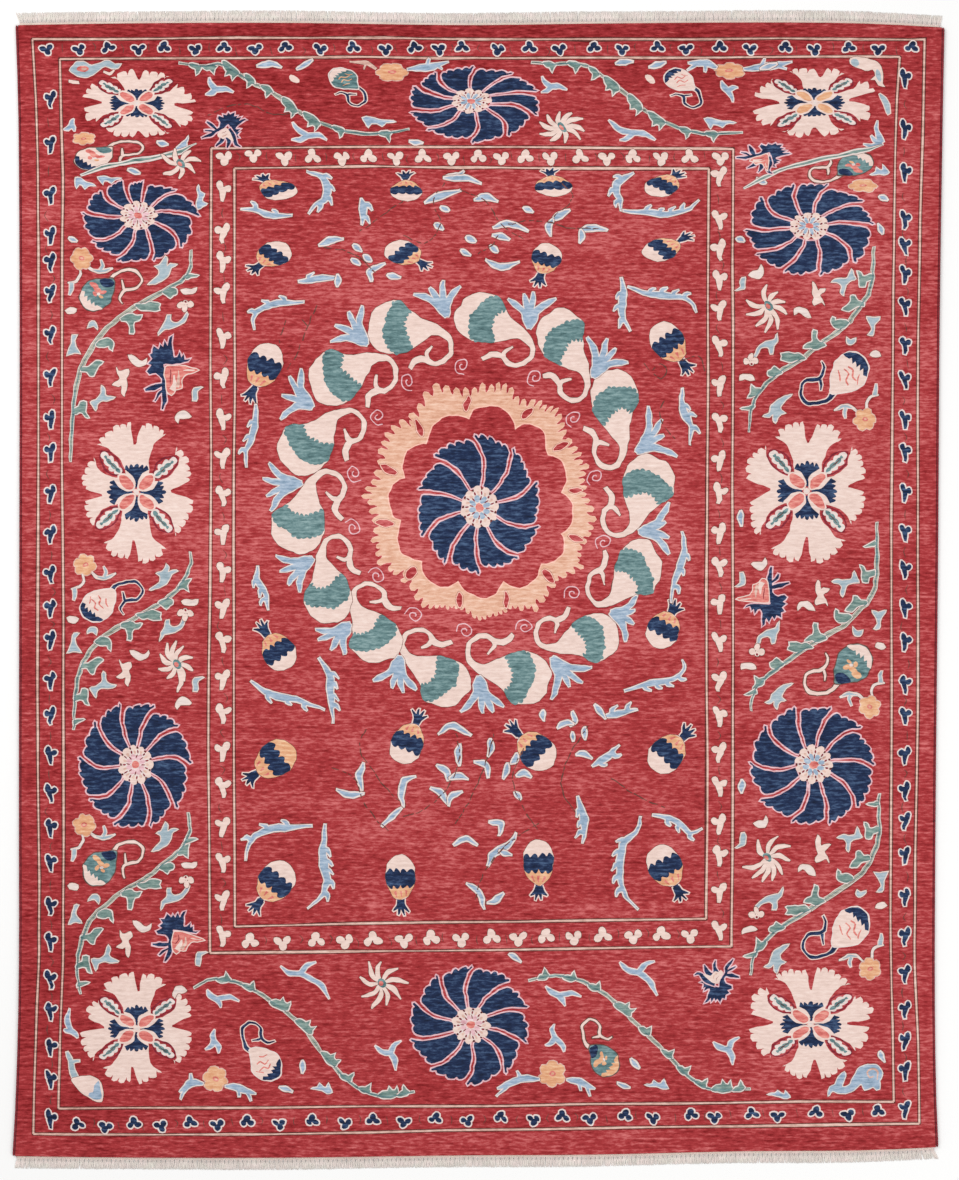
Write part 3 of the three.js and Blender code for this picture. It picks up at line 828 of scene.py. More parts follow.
SAZ = [
    ([(-45.3, 110.9), (-41.9, 109.8), (-40.2, 106.9), (-40.6, 103.9), (-43.2, 102.1), (-45, 99.9)],
     1.7, 4, 1),
    ([(-49.5, 99.4), (-55, 99.3), (-58.8, 100.7), (-62.8, 101)], 1.3, 2, -1),
    ([(-31, 103.8), (-30.5, 100.5), (-31, 97)], 1.8, 2, 1),
    ([(41, 110.6), (37.1, 108.2), (36.5, 105.6), (37.7, 103), (37.7, 100.6)], 1.7, 3, -1),
    ([(38.4, 100.6), (45.4, 100.1), (50.6, 99.7), (55.9, 101.2), (58.3, 103.4)], 1.3, 4, 1),
    ([(-46.5, 76.3), (-53.3, 76), (-57.5, 74.7), (-59.7, 72.6), (-59.4, 69.2)], 1.4, 3, -1),
    ([(38, 82.8), (38.4, 78.1), (38, 73.7), (40.2, 68.7)], 1.7, 3, -1),
    ([(39.7, 80.3), (45.4, 78.5), (50.6, 78.1), (55, 77.2), (56.7, 75.9), (57.8, 73.7)], 1.4, 4, 1),
    ([(-59, 49.2), (-59.2, 45), (-60.3, 40), (-61.8, 36), (-61.5, 32.8)], 1.5, 3, -1),
    ([(54, 53.3), (54.2, 48), (56.3, 43.5), (56, 38.8)], 1.6, 3, 1),
    ([(-58.5, 6.2), (-58.8, 3), (-56.7, -0.5), (-55.8, -5.2)], 1.4, 3, -1),
    ([(54, 15.2), (54.6, 11), (53, 5), (51.6, 1), (51, -3.3)], 1.5, 3, 1),
    ([(-60.3, -24.3), (-55, -27.7), (-48, -29.2), (-41, -31.7)], 1.5, 3, -1),
    ([(-42.3, -18.2), (-39.7, -22), (-39.2, -28), (-38.5, -35.2)], 1.7, 4, 1),
    ([(38.8, -26.6), (45, -24.9), (52, -23.4), (54.6, -21), (54, -18.6)], 1.3, 4, -1),
    ([(-44.2, -62.6), (-50.8, -63), (-55, -63.4), (-58.8, -64.9), (-60.8, -67.2), (-61.8, -71.5)],
     1.6, 3, -1),
    ([(-40.8, -62.1), (-40.9, -65.5), (-41.3, -69.8), (-40.8, -74), (-40.2, -77.4), (-41.9, -81.6),
      (-45.3, -84.4)],
     1.9, 5, 1),
    ([(26.2, -54.9), (27.5, -58.8), (28.1, -62.3), (27.7, -67.1)], 1.9, 3, -1),
    ([(43, -60.1), (41.9, -64), (38.8, -66.6), (37.5, -71.9), (37.7, -77.1), (39.2, -81.4), (42.3, -84.5)],
     1.6, 5, -1),
    ([(46.2, -59.8), (50.6, -60.5), (54.1, -62.7), (56.2, -64.4), (59.3, -63.4)], 1.3, 3, -1),
    ([(-47.7, 81.8), (-42, 82.6), (-37, 82.9)], 1.5, 1, 1),
    ([(33.3, -33.6), (37.6, -32.6), (42, -31.7)], 1.5, 2, 1),
    ([(30.1, -46.7), (34.2, -44.2), (37.1, -41.3)], 1.7, 2, -1),
]
for row in SAZ:
    saz(*row)
LEAVES = [
    [(-9, 109.3), (-5.5, 110), (-4, 111)], [(-9, 109.3), (-3.5, 109.2), (0.5, 108)],
    [(-14, 102.7), (-11, 104.3), (-5, 105.8)], [(-1, 103.5), (2, 104.2), (5, 103.2)],
    [(-10, 101.6), (-8, 100.5)], [(-11.5, 97), (-9.5, 95.7)], [(12, 101.5), (14.2, 100.2)],
    [(4, 96), (8, 97.2), (13, 95.2)], [(19.5, 98.2), (21.5, 99.2), (24, 100.7)],
    [(19.5, 98.2), (18.6, 96), (19, 94)], [(27, 95.3), (30.5, 96.1), (34, 95.3)],
    [(27, 95.3), (27.4, 93.8), (27, 92.3)], [(-42, 91.5), (-39, 92.9), (-36, 93)],
    [(-33, 91.6), (-31, 89.9)], [(-33.5, 87.7), (-31.5, 86.3)], [(-30.5, 88.6), (-28.6, 87.3)],
    [(-28.5, 82), (-28.7, 84.5), (-25, 86.5)], [(-24, 83.6), (-21, 82.9)], [(-3.2, 93.6), (-0.9, 92.5)],
    [(4, 94), (6, 93.9), (8, 93)], [(3.2, 91.2), (5, 89.8)], [(-4.6, 90.1), (-2.4, 88.9)],
    [(2, 87.5), (6, 85.6), (10.5, 87)], [(-37.2, 83.6), (-37.5, 80.6)],
    [(-10.5, -38), (-7, -36), (-2, -38.5)], [(-5, -41), (-5.4, -44), (-5, -46.5)],
    [(-11, -46.5), (-8.6, -48), (-8, -50.5)], [(-7.5, -50), (-5, -49.2), (-3, -50)],
    [(-12.5, -52.5), (-9.8, -54), (-8, -57)], [(-4.5, -53.5), (-7.2, -54.6), (-8, -57)],
    [(3, -39.5), (3.4, -42), (2.5, -44)], [(-1, -45.5), (2, -46.5), (2.5, -49.5)],
    [(10, -43.5), (9.9, -45), (8.5, -46)], [(7.5, -46), (7.5, -48), (6.5, -50)],
    [(10.2, -49.2), (12, -48.4), (13.8, -49.6)], [(9.8, -53.6), (11.2, -55.4)], [(17, -32), (17.2, -34.6)],
    [(25, -32.5), (25.5, -34.5), (24.5, -36)], [(21, -36.5), (23, -35.3), (25, -35.5)],
    [(28, -36.4), (28.3, -39.6)], [(25, -37.8), (25, -39.8)], [(26, -43.7), (28, -43.4), (30, -44.5)],
    [(-30.5, -46), (-31.6, -49.5), (-31, -53)], [(-37.5, -53), (-34, -54.4), (-30.5, -54)],
    [(-17, -49.5), (-19.7, -50.6), (-20.4, -54), (-20, -57.5)], [(-20.5, -58), (-24, -61), (-25.5, -62.5)],
    [(-6.5, -67.5), (-3.5, -66), (-0.5, -67.5)], [(3, -61.5), (6, -62), (5.5, -65)],
    [(2.5, -73), (4, -70), (8, -67.5), (10, -64.5)], [(5.5, -69.2), (8.5, -70.2)],
    [(-3, -78), (0, -80), (1.5, -84.5)], [(6.5, -80.5), (4.4, -82.4), (2.5, -83)], [(69.5, 21), (69.6, 17)],
    [(69.8, -50.4), (69.8, -53.6)], [(31, -30.4), (33.4, -34)],
]
for points in LEAVES:
    leaf(points, knotter.uniform(1.45, 1.9))
TENDRILS = [
    [(-50.8, 58.5), (-48.4, 62), (-46.6, 67), (-44.5, 72), (-42.2, 77.5)],
    [(-52.8, 65.5), (-52, 69), (-50.4, 72.5)], [(-45.2, 70), (-48, 72.6)],
    [(-30, -37), (-31.5, -42), (-28, -48), (-24, -53), (-20, -57)],
    [(-39, -47), (-33, -50), (-30, -57), (-24, -64)],
    [(-6, -38), (-5, -44), (-8, -52), (-14, -58), (-20, -60)],
    [(4, -38), (2, -46), (-2, -55), (-6, -62)], [(12, -42), (9, -50), (12, -58), (16, -64)],
    [(16, -62), (8, -67), (2, -74), (-1, -82)], [(29, -36), (24, -44), (22, -52), (26, -60)],
    [(35, -50), (43, -55), (50, -58)], [(-9, 108), (-12, 103), (-10, 97), (-14, 92), (-20, 94)],
    [(-5, 106), (2, 103), (6, 97), (12, 93)], [(8, 97), (16, 98), (24, 96), (32, 96)],
    [(20, 99), (25, 104), (22, 108)], [(-41, 91), (-33, 89), (-27, 84)], [(0, 89), (4, 92), (6, 96)],
    [(-20, 103), (-26, 99), (-33, 94)], [(60, 58), (58, 62), (52, 60)],
    [(-72, 126), (-62, 129), (-54, 126), (-48, 127)], [(44, 60), (48, 56), (50, 58), (48, 60), (46, 58)],
    [(52, 40), (48, 46), (50, 52)],
]
for points in TENDRILS:
    tendril(points)


# -- border vines: a pale stem with a dark core and sea-green leaves along one side
def vine(points, leaves, turn=0, flip=1, width=1.0):
    """Cut leaves sit at their own places, leaning with the stem if the turn is None."""
    run = line(points, step=0.6)
    knot([("moss", stroke(points, [0.5, width, width, width * 1.1, width * 0.9, 0.4], 0.6))],
         rim=0.16, rim_dye="mist", edge=0.1)
    way = headings(run)
    for kind, x, y in leaves:
        here = way[int(np.argmin(np.linalg.norm(run - (x, y), axis=1)))]
        lean = math.degrees(math.atan2(here[1], here[0])) if turn is None else turn
        knot([("sage", line(VINE_LEAVES[kind], True, 0.6))], x, y, lean + knotter.uniform(-5, 5), 1, flip,
             rim=0.3, rim_dye="mist", edge=0.08)
    chart.append(("teal", stroke(points, [0.15, 0.5, 0.3, 0.2, 0.12, 0.2, 0.45, 0.5, 0.2], 0.6)))


VINE_LEAVES = {
    "top": [(-0.8, -1.2), (-0.4, 0.4), (0.6, 1), (2.2, 1.4), (1.6, 0.3), (1.5, -0.5), (1.7, -1.9),
            (0.6, -1.1)],
    "bud": [(-1.6, -0.5), (-0.3, 0.3), (1.4, 0.7), (2.3, 0.2), (2.2, -0.8), (1.3, -1.3), (0.5, -2),
            (-0.5, -1.3)],
    "broad": [(-0.6, 0), (1.8, 0.4), (3.1, 1), (4.5, 0.7), (5.8, 0.3), (5.3, -0.6), (5.6, -1.4), (3.8, -1.5),
              (2.3, -1.2), (0.8, -1.3)],
    "star": [(-0.9, -0.2), (1, 0.7), (2.2, 0.7), (2.9, 0.2), (4.7, 0.2), (3.7, -1), (2.7, -1.3), (2.4, -2.5),
             (2, -4.4), (1.2, -4.2), (1.2, -2.3), (0.7, -1.2), (-0.6, -0.9)],
    "hooked": [(-0.6, -0.8), (0.6, 0.4), (2.2, 0.6), (3.3, 0.1), (3.8, -0.9), (3.6, -2.7), (3, -2.3),
               (2.9, -1.6), (1.6, -1.7), (0.2, -1.5)],
    "forked": [(-0.2, 0.1), (1.6, 0.4), (2.6, 1.2), (3.6, 1.9), (5.3, 1.7), (4.2, 0.5), (3.5, -0.5),
               (3.2, -2.1), (2.2, -2.1), (1.4, -1), (-0.2, -0.9)],
    "double": [(0, 0.4), (1.3, 0.9), (1.8, 2.2), (3.2, 2.2), (3.2, 0.9), (3.2, -0.4), (3.8, -2), (2.9, -1.6),
               (2.4, -0.6), (1.4, -0.5), (0, -1)],
    "barb": [(-1.6, -0.3), (-0.6, 0.5), (0.3, 0.7), (0.9, 2), (1.5, 0.7), (2, 0.1), (1, -0.6), (-0.5, -0.7)],
    "crest": [(-2.6, -0.4), (-1.4, 0.8), (-0.2, 1.1), (0.2, 2.1), (0.9, 1.2), (1.7, 1.2), (2.4, 2.2),
              (2.5, 0.9), (2.9, 0), (1.4, -0.8), (-1, -0.9)],
    "thorn": [(-0.1, -0.7), (1.2, -0.2), (3, 0.4), (1.5, 0.6), (-0.1, 0.4)],
}
vine([(-76.3, 90), (-76.2, 87), (-77, 84), (-79, 81.8), (-82.5, 79.8), (-86, 78), (-89, 76.2), (-92, 74.4),
      (-95.5, 72), (-98, 70), (-100.5, 67.3), (-102, 65), (-103.5, 62.5), (-105, 60), (-106, 57),
      (-106.8, 53.5), (-107.3, 50), (-107.6, 46), (-108, 40), (-108.2, 34)],
     [("thorn", -77.4, 83.2), ("bud", -82.3, 79.4), ("broad", -90.3, 75.6), ("star", -94, 72.3),
      ("hooked", -100.8, 66), ("forked", -105, 59), ("double", -107.3, 47.6)])
vine([(-76.4, 10), (-76.3, 7), (-77.5, 4), (-79.3, 1), (-81.5, -1.3), (-85, -4), (-89, -6.3), (-93, -8.5),
      (-96.5, -10.5), (-100, -13), (-102.7, -15.8), (-104.7, -19), (-106, -22.5), (-106.7, -27),
      (-107.2, -31), (-107.3, -37)],
     [("top", -78.6, 1.6), ("bud", -83.4, -2.9), ("broad", -90, -6.4), ("star", -94, -8.9),
      ("hooked", -101.2, -13), ("forked", -105, -19.8), ("double", -107, -28.4), ("thorn", -107.4, -35)])
vine([(-77.1, -59), (-76.5, -63), (-77.5, -66.5), (-80, -70), (-83.5, -72.6), (-87, -75.5), (-90.5, -77.8),
      (-95, -80.4), (-98.5, -83.3), (-102, -86.3), (-104, -89.5), (-105.5, -94), (-106.3, -98.5),
      (-106.3, -103), (-105.5, -107)],
     [("thorn", -77.6, -66.6), ("top", -78.8, -69), ("bud", -83.2, -73.2), ("broad", -90, -77.9),
      ("star", -94, -80.2), ("hooked", -100.8, -85.4), ("forked", -105, -91.6), ("double", -106.5, -99.5),
      ("thorn", -106.2, -104.5)])
vine([(104.8, 91), (104.7, 86), (104.3, 82), (103.3, 78.5), (101, 75), (98.5, 71.5), (95, 68.3), (90, 64.8),
      (85.5, 61.3), (80, 57.8), (75.5, 53.8), (73, 50), (72, 46), (71.8, 42)],
     [("double", 104.2, 82.8), ("forked", 102, 75.6), ("hooked", 97.6, 70), ("star", 91, 64.6),
      ("broad", 86, 61.4), ("bud", 79, 57.2), ("top", 73.8, 52.4), ("thorn", 72.8, 48.4)], 180)
vine([(105.7, 18), (105.6, 12), (105.6, 6), (105.2, 1), (103.5, -2.8), (100, -6.5), (97.5, -9), (94, -11),
      (90, -13.5), (85, -16.5), (80.5, -19.8), (76.5, -23), (73.8, -26), (72.5, -29), (72.2, -32)],
     [("thorn", 105.2, 12.2), ("double", 105, 4.4), ("forked", 102.6, -3.8), ("hooked", 98.4, -7.9),
      ("star", 91.4, -13), ("broad", 88, -15.3), ("bud", 79.6, -20.2), ("top", 75, -24.6),
      ("thorn", 73.6, -27)], 180)
vine([(106.2, -54), (106.2, -60), (106.2, -65), (104.8, -69.5), (102.5, -74), (98.5, -77.6), (94, -80.8),
      (89.5, -83.5), (85, -86.5), (80, -89.6), (76.5, -92.5), (73.5, -96), (72.5, -99), (72.3, -102)],
     [("thorn", 106, -56.6), ("double", 106, -63.8), ("forked", 103.6, -71.4), ("hooked", 98.8, -77.2),
      ("star", 91, -82.8), ("broad", 87.3, -85), ("bud", 79.6, -90), ("top", 75.4, -94.4),
      ("thorn", 73.4, -96.6)], 180)
vine([(-79.5, 139.9), (-73.8, 138.9), (-68.7, 139.4), (-64.6, 137.3), (-59.5, 134.3), (-54.4, 131.8),
      (-50.2, 128.8), (-45.1, 125.3), (-39, 122.8), (-33.8, 121.4), (-26.6, 121), (-18.4, 122.2)],
     [("barb", -75.4, 138.8), ("barb", -71.4, 138.6), ("crest", -66, 138.4), ("barb", -61, 135.6),
      ("barb", -56.4, 132.9), ("crest", -50.2, 128.7), ("crest", -44.4, 125), ("barb", -37.2, 122.2),
      ("barb", -25, 120.9)], None, -1, 0.8)
vine([(14, 139.9), (20.5, 139.5), (26.9, 139.5), (31.2, 137.5), (35.5, 134.3), (39.8, 131), (43.1, 128),
      (47.4, 125), (53.9, 122.3), (60.3, 121), (70, 121.4)],
     [("barb", 18.6, 139.4), ("barb", 25, 139.4), ("barb", 30.4, 137.6), ("crest", 35, 134.4),
      ("crest", 41.4, 129.4), ("crest", 47, 125.2), ("barb", 54.6, 122), ("barb", 61.6, 121)], None, -1, 0.8)
vine([(-75.4, -105.4), (-71.8, -103.5), (-66.7, -103.4), (-61.5, -105.2), (-56.4, -108.1), (-51.3, -111.6),
      (-47.2, -115.2), (-44.1, -119.2), (-41, -123.4), (-37.4, -127.4), (-32.8, -131.5), (-27.7, -133.9),
      (-22.5, -134.2), (-16.9, -132.9)],
     [("barb", -67.8, -103.3), ("barb", -61.2, -105.2), ("crest", -53, -110), ("crest", -46.4, -115.6),
      ("crest", -39.8, -124.2), ("barb", -35.2, -129.2), ("barb", -30.4, -132.4), ("crest", -24, -133.8),
      ("barb", -20.2, -133.6)], None, 1, 0.8)
vine([(13.5, -103.6), (17.2, -102.5), (22.6, -102.5), (26.9, -103.6), (32.3, -106.4), (36.6, -109.6),
      (40.9, -114.2), (45.2, -118.2), (49.5, -122.6), (53.9, -127.3), (58.2, -130.8), (62.5, -132.5),
      (72.2, -132.4)],
     [("barb", 17, -102.5), ("barb", 24, -102.8), ("barb", 30.4, -105.2), ("crest", 38.2, -111),
      ("barb", 43.8, -116.8), ("barb", 49.8, -122.8), ("barb", 54, -127.2), ("barb", 58.8, -130.9),
      ("crest", 64.4, -132.3), ("barb", 68.8, -132.2)], None, 1, 0.8)


# -- botehs: little fruits with a crescent, a patch and a thin curling stalk
def boteh(x, y, turn, wide=1.0, tall=1.0, crescent="ivory", body="teal", heart="coral", stalk="ivory"):
    """The stalk leaves the fruit at the upper right and curls back round a hook."""
    tail = [(3.6, 3.8), (5, 5.5), (7.6, 6.4), (10.2, 6.3), (11.7, 4.7), (11.6, 2.9), (10.3, 1.6), (8.4, 1.4),
            (7.1, 1), (6.4, 0), (6.2, -1.2), (6.8, -2.4)]
    shapes = [(stalk, stroke(tail, [1.3, 0.8, 0.62, 0.7, 0.8, 0.7, 0.5, 0.6, 0.8, 0.75, 0.6, 0.3])),
              (stalk, stroke([(7.1, 1.4), (6.9, 2.6), (6.8, 3.7)], [0.7, 0.55, 0.3]))]
    dark = stalk != "ivory"
    knot(shapes, x, y, turn, wide, tall, rim=0.26, rim_dye="ivory" if dark else "dusk")
    fruit = [(4.4, 4.2), (1.4, 4.1), (-1.5, 3.6), (-3.6, 1.9), (-4.5, -0.8), (-3.7, -3.1), (-1.6, -4.3),
             (1, -4), (3.2, -2.4), (4.3, 0.2), (4.6, 2.4)]
    knot([(body, line(fruit, True))], x, y, turn, wide, tall, rim=0.28, rim_dye="mist" if dark else "dusk")
    moon = [(-4.2, 0.9), (-4.4, -0.9), (-3.7, -3), (-1.6, -4.2), (1.6, -3.9), (0.2, -2.9), (-0.5, -3.1),
            (-0.6, -1.9), (-1.3, -2.5), (-1.7, -1.2), (-2.4, -1.8), (-2.6, -0.4), (-3.3, -0.8), (-3.3, 0.6)]
    cap = [(0.6, 3.9), (3.6, 4.2), (4.6, 2.6), (3.2, 1.8), (1.6, 2.3)]
    base = [(0.6, -1.4), (2.2, -0.4), (3.8, -0.8), (3, -2.4), (1.4, -3.4), (0.6, -2.4)]
    patch = [(crescent, line(moon, True, 0.7))]
    if dark:
        patch += [(heart, stroke([(-1.6, 1.8), (-0.6, 0.6), (-1, -0.6), (0.2, -1.4)], [0.3, 0.5, 0.3])),
                  (heart, stroke([(0.2, 2.6), (0.9, 1.4), (0.3, 0.2), (1.4, -0.8)], [0.3, 0.5, 0.3])),
                  (heart, stroke([(2.2, 1.8), (2.4, 0.6), (2.9, -0.4)], [0.3, 0.5, 0.2])),
                  (heart, stroke([(-2.4, 0.4), (-2, 1.2), (-1.8, 2.6)], [0.2, 0.4, 0.2]))]
    else:
        patch += [("mist" if body == "ochre" else body, line(base, True, 0.7)),
                  ("indigo" if body == "teal" else "teal", line(cap, True, 0.7)),
                  (heart, oval(-0.7, 2.4, 1.3, 0.7, -25, 9)), (heart, oval(0.3, 1.2, 1.5, 0.7, -40, 9)),
                  (heart, oval(1.6, 0.6, 1.1, 0.55, 10, 9)), (heart, oval(-0.6, 0.2, 0.6, 0.7, 0, 8)),
                  ("mist", oval(0.5, 0.2, 0.5, 0.4, 0, 7)), ("ochre", oval(1.0, -0.6, 0.7, 0.4, -30, 7))]
    knot(patch, x, y, turn, wide, tall)


boteh(-101.2, 78.4, 0)
boteh(-101, -4.1, 0, 1, 0.98, "indigo", "ivory", "coral", "indigo")
boteh(-100.5, -73.8, 0, 0.98, 1.08, "ivory", "teal", "ochre")
boteh(98.4, 57.6, 180, 1.1, 1.26, "indigo", "ivory", "coral", "indigo")
boteh(99.4, -19.6, 180, 1.1, 1.22, "ivory", "teal", "ochre")
boteh(98.8, -89.4, 180, 1.08, 1.22, "indigo", "ivory", "coral", "indigo")
boteh(-102.2, 114.5, 0, 1.12, 0.7, "indigo", "ivory", "coral", "ivory")
boteh(100, 113, 180, 1.05, 0.72, "ivory", "teal", "coral")
boteh(-35.8, 135.6, -90, 0.6, 0.9, "ivory", "teal", "ochre", "indigo")
boteh(53.2, 135.4, -90, 0.62, 0.9, "indigo", "ivory", "coral", "indigo")
boteh(-56.4, -125.9, 90, 0.95, 0.96, "indigo", "ivory", "coral", "indigo")
boteh(33.4, -124.9, 90, 0.93, 0.9, "ochre", "teal", "ochre")


# -- small border flowers: stars, curling leaves, leaves in threes, and the side borders' gardens
def star(x, y, r, tall=1.0):
    """A six-lobed ochre flower with a coral eye."""
    lobes = [("ochre", oval(0, 0, r * 0.66, r * 0.66, 0, 12))]
    for a in np.arange(6) * math.pi / 3 + knotter.uniform(0, 1):
        size = r * knotter.uniform(0.36, 0.46)
        lobes.append(("ochre", oval(r * 0.64 * math.cos(a), r * 0.64 * math.sin(a), size, size, 0, 9)))
    knot(lobes, x, y, tall=tall, rim=0.24, rim_dye="cream")
    knot([("coral", oval(0, 0, r * 0.28, r * 0.22, 0, 8)), ("peach", oval(0, 0, r * 0.14, r * 0.1, 0, 6))],
         x, y, tall=tall)


def trileaf(x, y, tips):
    """Leaves that meet at one point."""
    shapes = []
    for tip in tips:
        over = (tip[0] - x, tip[1] - y)
        bend = (x + 0.55 * over[0] - 0.12 * over[1], y + 0.55 * over[1] + 0.12 * over[0])
        shapes.append(("sky", stroke([(x, y), bend, tip], [1.2, 1.2, 0.96, 0.15])))
    knot(shapes, rim=0.28, rim_dye="mist")


star(-23, 137.3, 4.1, 0.55)
star(66.5, 137.7, 3.8, 0.55)
star(-69.7, -129.7, 3.2)
star(19.5, -128.3, 3.4)
star(-104.7, 119.7, 2.9, 0.55)
star(102, 107.2, 3.6, 0.45)
knot([("cream", stroke([(-27, 138.2), (-29.6, 139.6), (-34, 140.2)], [0.6, 1.2, 0.5])),
      ("cream", stroke([(-29.6, 139.6), (-30.4, 138)], [0.8, 0.3]))], edge=0.1)
CURLS = [
    ([(-18.6, 138.2), (-13.6, 138.6), (-8.2, 140)], 1), ([(63.2, 138.6), (60.4, 139.6), (55.6, 139.8)], -1),
    ([(70.4, 138.2), (75, 138.6), (83, 140)], 1), ([(-73, -131), (-76, -130.6), (-79, -133)], 1),
    ([(-67.2, -131.6), (-64, -132), (-59, -133.6)], -1), ([(16.2, -129.6), (11, -129.8), (5, -132.2)], 1),
    ([(23.4, -129.8), (26.6, -130.4), (30.8, -132.2)], -1),
]
for points, side in CURLS:
    (x, y), (x1, y1) = points[1], points[2]
    up = (x + 0.1 * (x1 - x), y + 2.2 * side)
    knot([("sky", stroke(points, [0.4, 1.5, 1.7, 1.3, 0.2])), ("sky", stroke([(x, y), up], [1.1, 0.3])),
          ("sky", stroke([((x + x1) / 2, (y + y1) / 2), (x1 - 1.4 * (x1 > x), y1 - 1.8)], [1.0, 0.2]))],
         rim=0.28, rim_dye="mist", edge=0.1)

# The six stretches of side border between the big flowers all hold the same little garden; on
# the right it is turned half round. Each motif has its shape once, then its six places.
GARDEN = [
    ("frost", [(-3.9, -3.3), (-1.6, -2.8), (0.2, -1.7), (1.4, -0.2), (1.9, 1.2), (3.2, 2.1), (1.7, 2.2),
               (0.9, 1.6), (0.7, 3.2), (0.1, 3.9), (-0.4, 2.4), (-1.2, 1.7), (-2.3, 1.3), (-1.3, 0.6),
               (-1.3, -0.8), (-2.3, -2)],
     [(-83.5, 84.3), (-83.2, 3.1), (-83, -65.7), (79, 48.3), (79.3, -27.9), (78.9, -97.6)]),
    ("mist", [(-1.9, 0.2), (-0.8, 0.5), (0.6, 0.4), (1.8, 0.7), (1.6, -0.3), (0.3, -0.6), (-1.3, -0.5)],
     [(-76.8, 79.3), (-76.5, -3.3), (-76.7, -73), (71.2, 56.3), (71.6, -20.3), (71.8, -90)]),
    ("frost", [(-2.5, -2.6), (-2.1, -0.7), (-1.2, 0.5), (-0.9, 1.6), (-0.7, 2.6), (0, 2.7), (0.1, 1.5),
               (0.9, 0.8), (2.4, 0.9), (3.4, 2), (4.4, 3.6), (4.6, 3.2), (3.6, 1), (1.6, -0.4), (-0.2, -0.9),
               (-1.4, -1.1)],
     [(-82, 70.2), (-82.1, -10.7), (-81.6, -81.9), (77.2, 65.2), (77.6, -11.4), (78, -81.9)]),
    ("ivory", [(-1.4, 3.2), (-0.6, 2.2), (0.3, 2.4), (1.6, 2.9), (2.1, 1.6), (1.4, 0.6), (1.8, -1),
               (1.5, -4), (0.7, -3.2), (0.3, -1.4), (-0.3, -1.8), (-2, -1.6), (-1.3, -0.7), (-0.4, 0.1),
               (-1, 1.4)],
     [(-94.9, 55.7), (-94, -21.7), (-94, -93.4), (90.3, 78.2), (91.2, -1.2), (91.4, -69.2)]),
    ("mist", [(-2, 1.2), (-0.6, 0.9), (0.6, -0.1), (1.5, -0.2), (2.3, 0.5), (2.1, -0.7), (1, -1.2),
              (-0.5, -1), (-1.5, -0.1)],
     [(-90.5, 60.8), (-89.9, -17.2), (-89.3, -89.2), (86, 73.6), (86.9, -4.3), (87.3, -74.2)]),
    ("frost", [(0.4, 3.4), (1, 2.6), (0.8, 1), (1.5, 0.2), (3.2, -0.1), (1.8, -0.8), (0.2, -0.7),
               (-1.3, -1.2), (-2, -3), (-2.7, -1.4), (-3.1, -0.5), (-1.5, -0.1), (-0.3, 0.8), (0.1, 2.2)],
     [(-99.9, 50.8), (-99.7, -25.3), (-99, -97.8), (97, 81.8), (97.3, 1.8), (98.5, -65.9)]),
    ("frost", [(-0.7, -1.9), (-0.8, 0.2), (-0.4, 1.2), (1.7, 1.6), (0.5, 0.8), (0.4, -0.6), (0.1, -1.9)],
     [(-75, 52.1), (-74.8, -24.8), (-74, -97.6), (69.9, 81), (69.8, 2.6), (69.9, -66.4)]),
    ("mist", [(-1.8, -0.7), (-1.3, -1.9), (-0.9, -0.8), (0.8, -0.5), (1.8, 0.1), (0.6, 0.9), (-1, 0.8)],
     [(-78.3, 46.2), (-78.2, -29.7), (-79.2, -106.2), (73.7, 83.8), (74.4, 6.6), (74.8, -62)]),
    ("frost", [(-1.4, -0.5), (-0.6, 0.9), (0.5, 1.1), (1.2, 0.2), (1.1, -0.8), (0.3, -0.1), (-0.6, -0.2)],
     [(-102.3, 70), (-102.3, -10.9), (-101.9, -82), (98.7, 66.2), (100.5, -11), (101.3, -80.3)]),
    ("frost", [(0.3, 3.2), (1.4, 3.1), (0.5, 1.9), (0.7, 0.4), (1.7, -1.6), (0.3, -1.3), (-1.6, -1.6),
               (-1, -0.4), (-0.4, 0.6), (-0.1, 2)],
     [(-107.6, 64.2), (-107.4, -14.9), (-107.2, -86.8), (104.7, 70.8), (106.3, -7.1), (107, -76.5)]),
    ("mist", [(-1.3, 0.2), (-0.2, 0.7), (1.2, 0.3), (0.7, -0.6), (-0.8, -0.5)],
     [(-108, 74), (-107.6, -7.8), (-107.5, -78.7), (105.2, 62.5), (106.5, -14.8), (106.7, -83.7)]),
]
for dye, outline, places in GARDEN:
    for i, (x, y) in enumerate(places):
        size = knotter.uniform(0.94, 1.08)
        turn = (180 if i > 2 else 0) + knotter.uniform(-8, 8)
        knot([(dye, line(outline, True, 0.6))], x, y, turn, size, size,
             rim=0 if dye == "ivory" else 0.26, rim_dye="ivory", edge=0.14)
CLOVERS = [(-77.7, 75.5), (-77.7, -6.3), (-77.4, -77.2), (72.2, 60.9), (73.8, -16.2), (73.6, -85.8)]
for i, (x, y) in enumerate(CLOVERS):
    shape = [oval(-1.3, 0.2, 0.9, 0.9, 0, 9), oval(1.2, 0.2, 0.9, 0.9, 0, 9), oval(-0.1, 0.8, 0.7, 0.7, 0, 9),
             oval(-0.1, -0.9, 0.7, 1.1, 0, 9)]
    heart = ("wine", oval(-0.1, 1.0, 0.35, 0.35, 0, 6))
    knot([("ivory", o) for o in shape] + [heart], x, y, 180 if i > 2 else 0, edge=0.14)
STARS = [(-105.2, 87.9), (-104.3, 6.7), (-104.5, -62.3), (102.4, 45.2), (103.8, -31), (103.8, -100.5)]
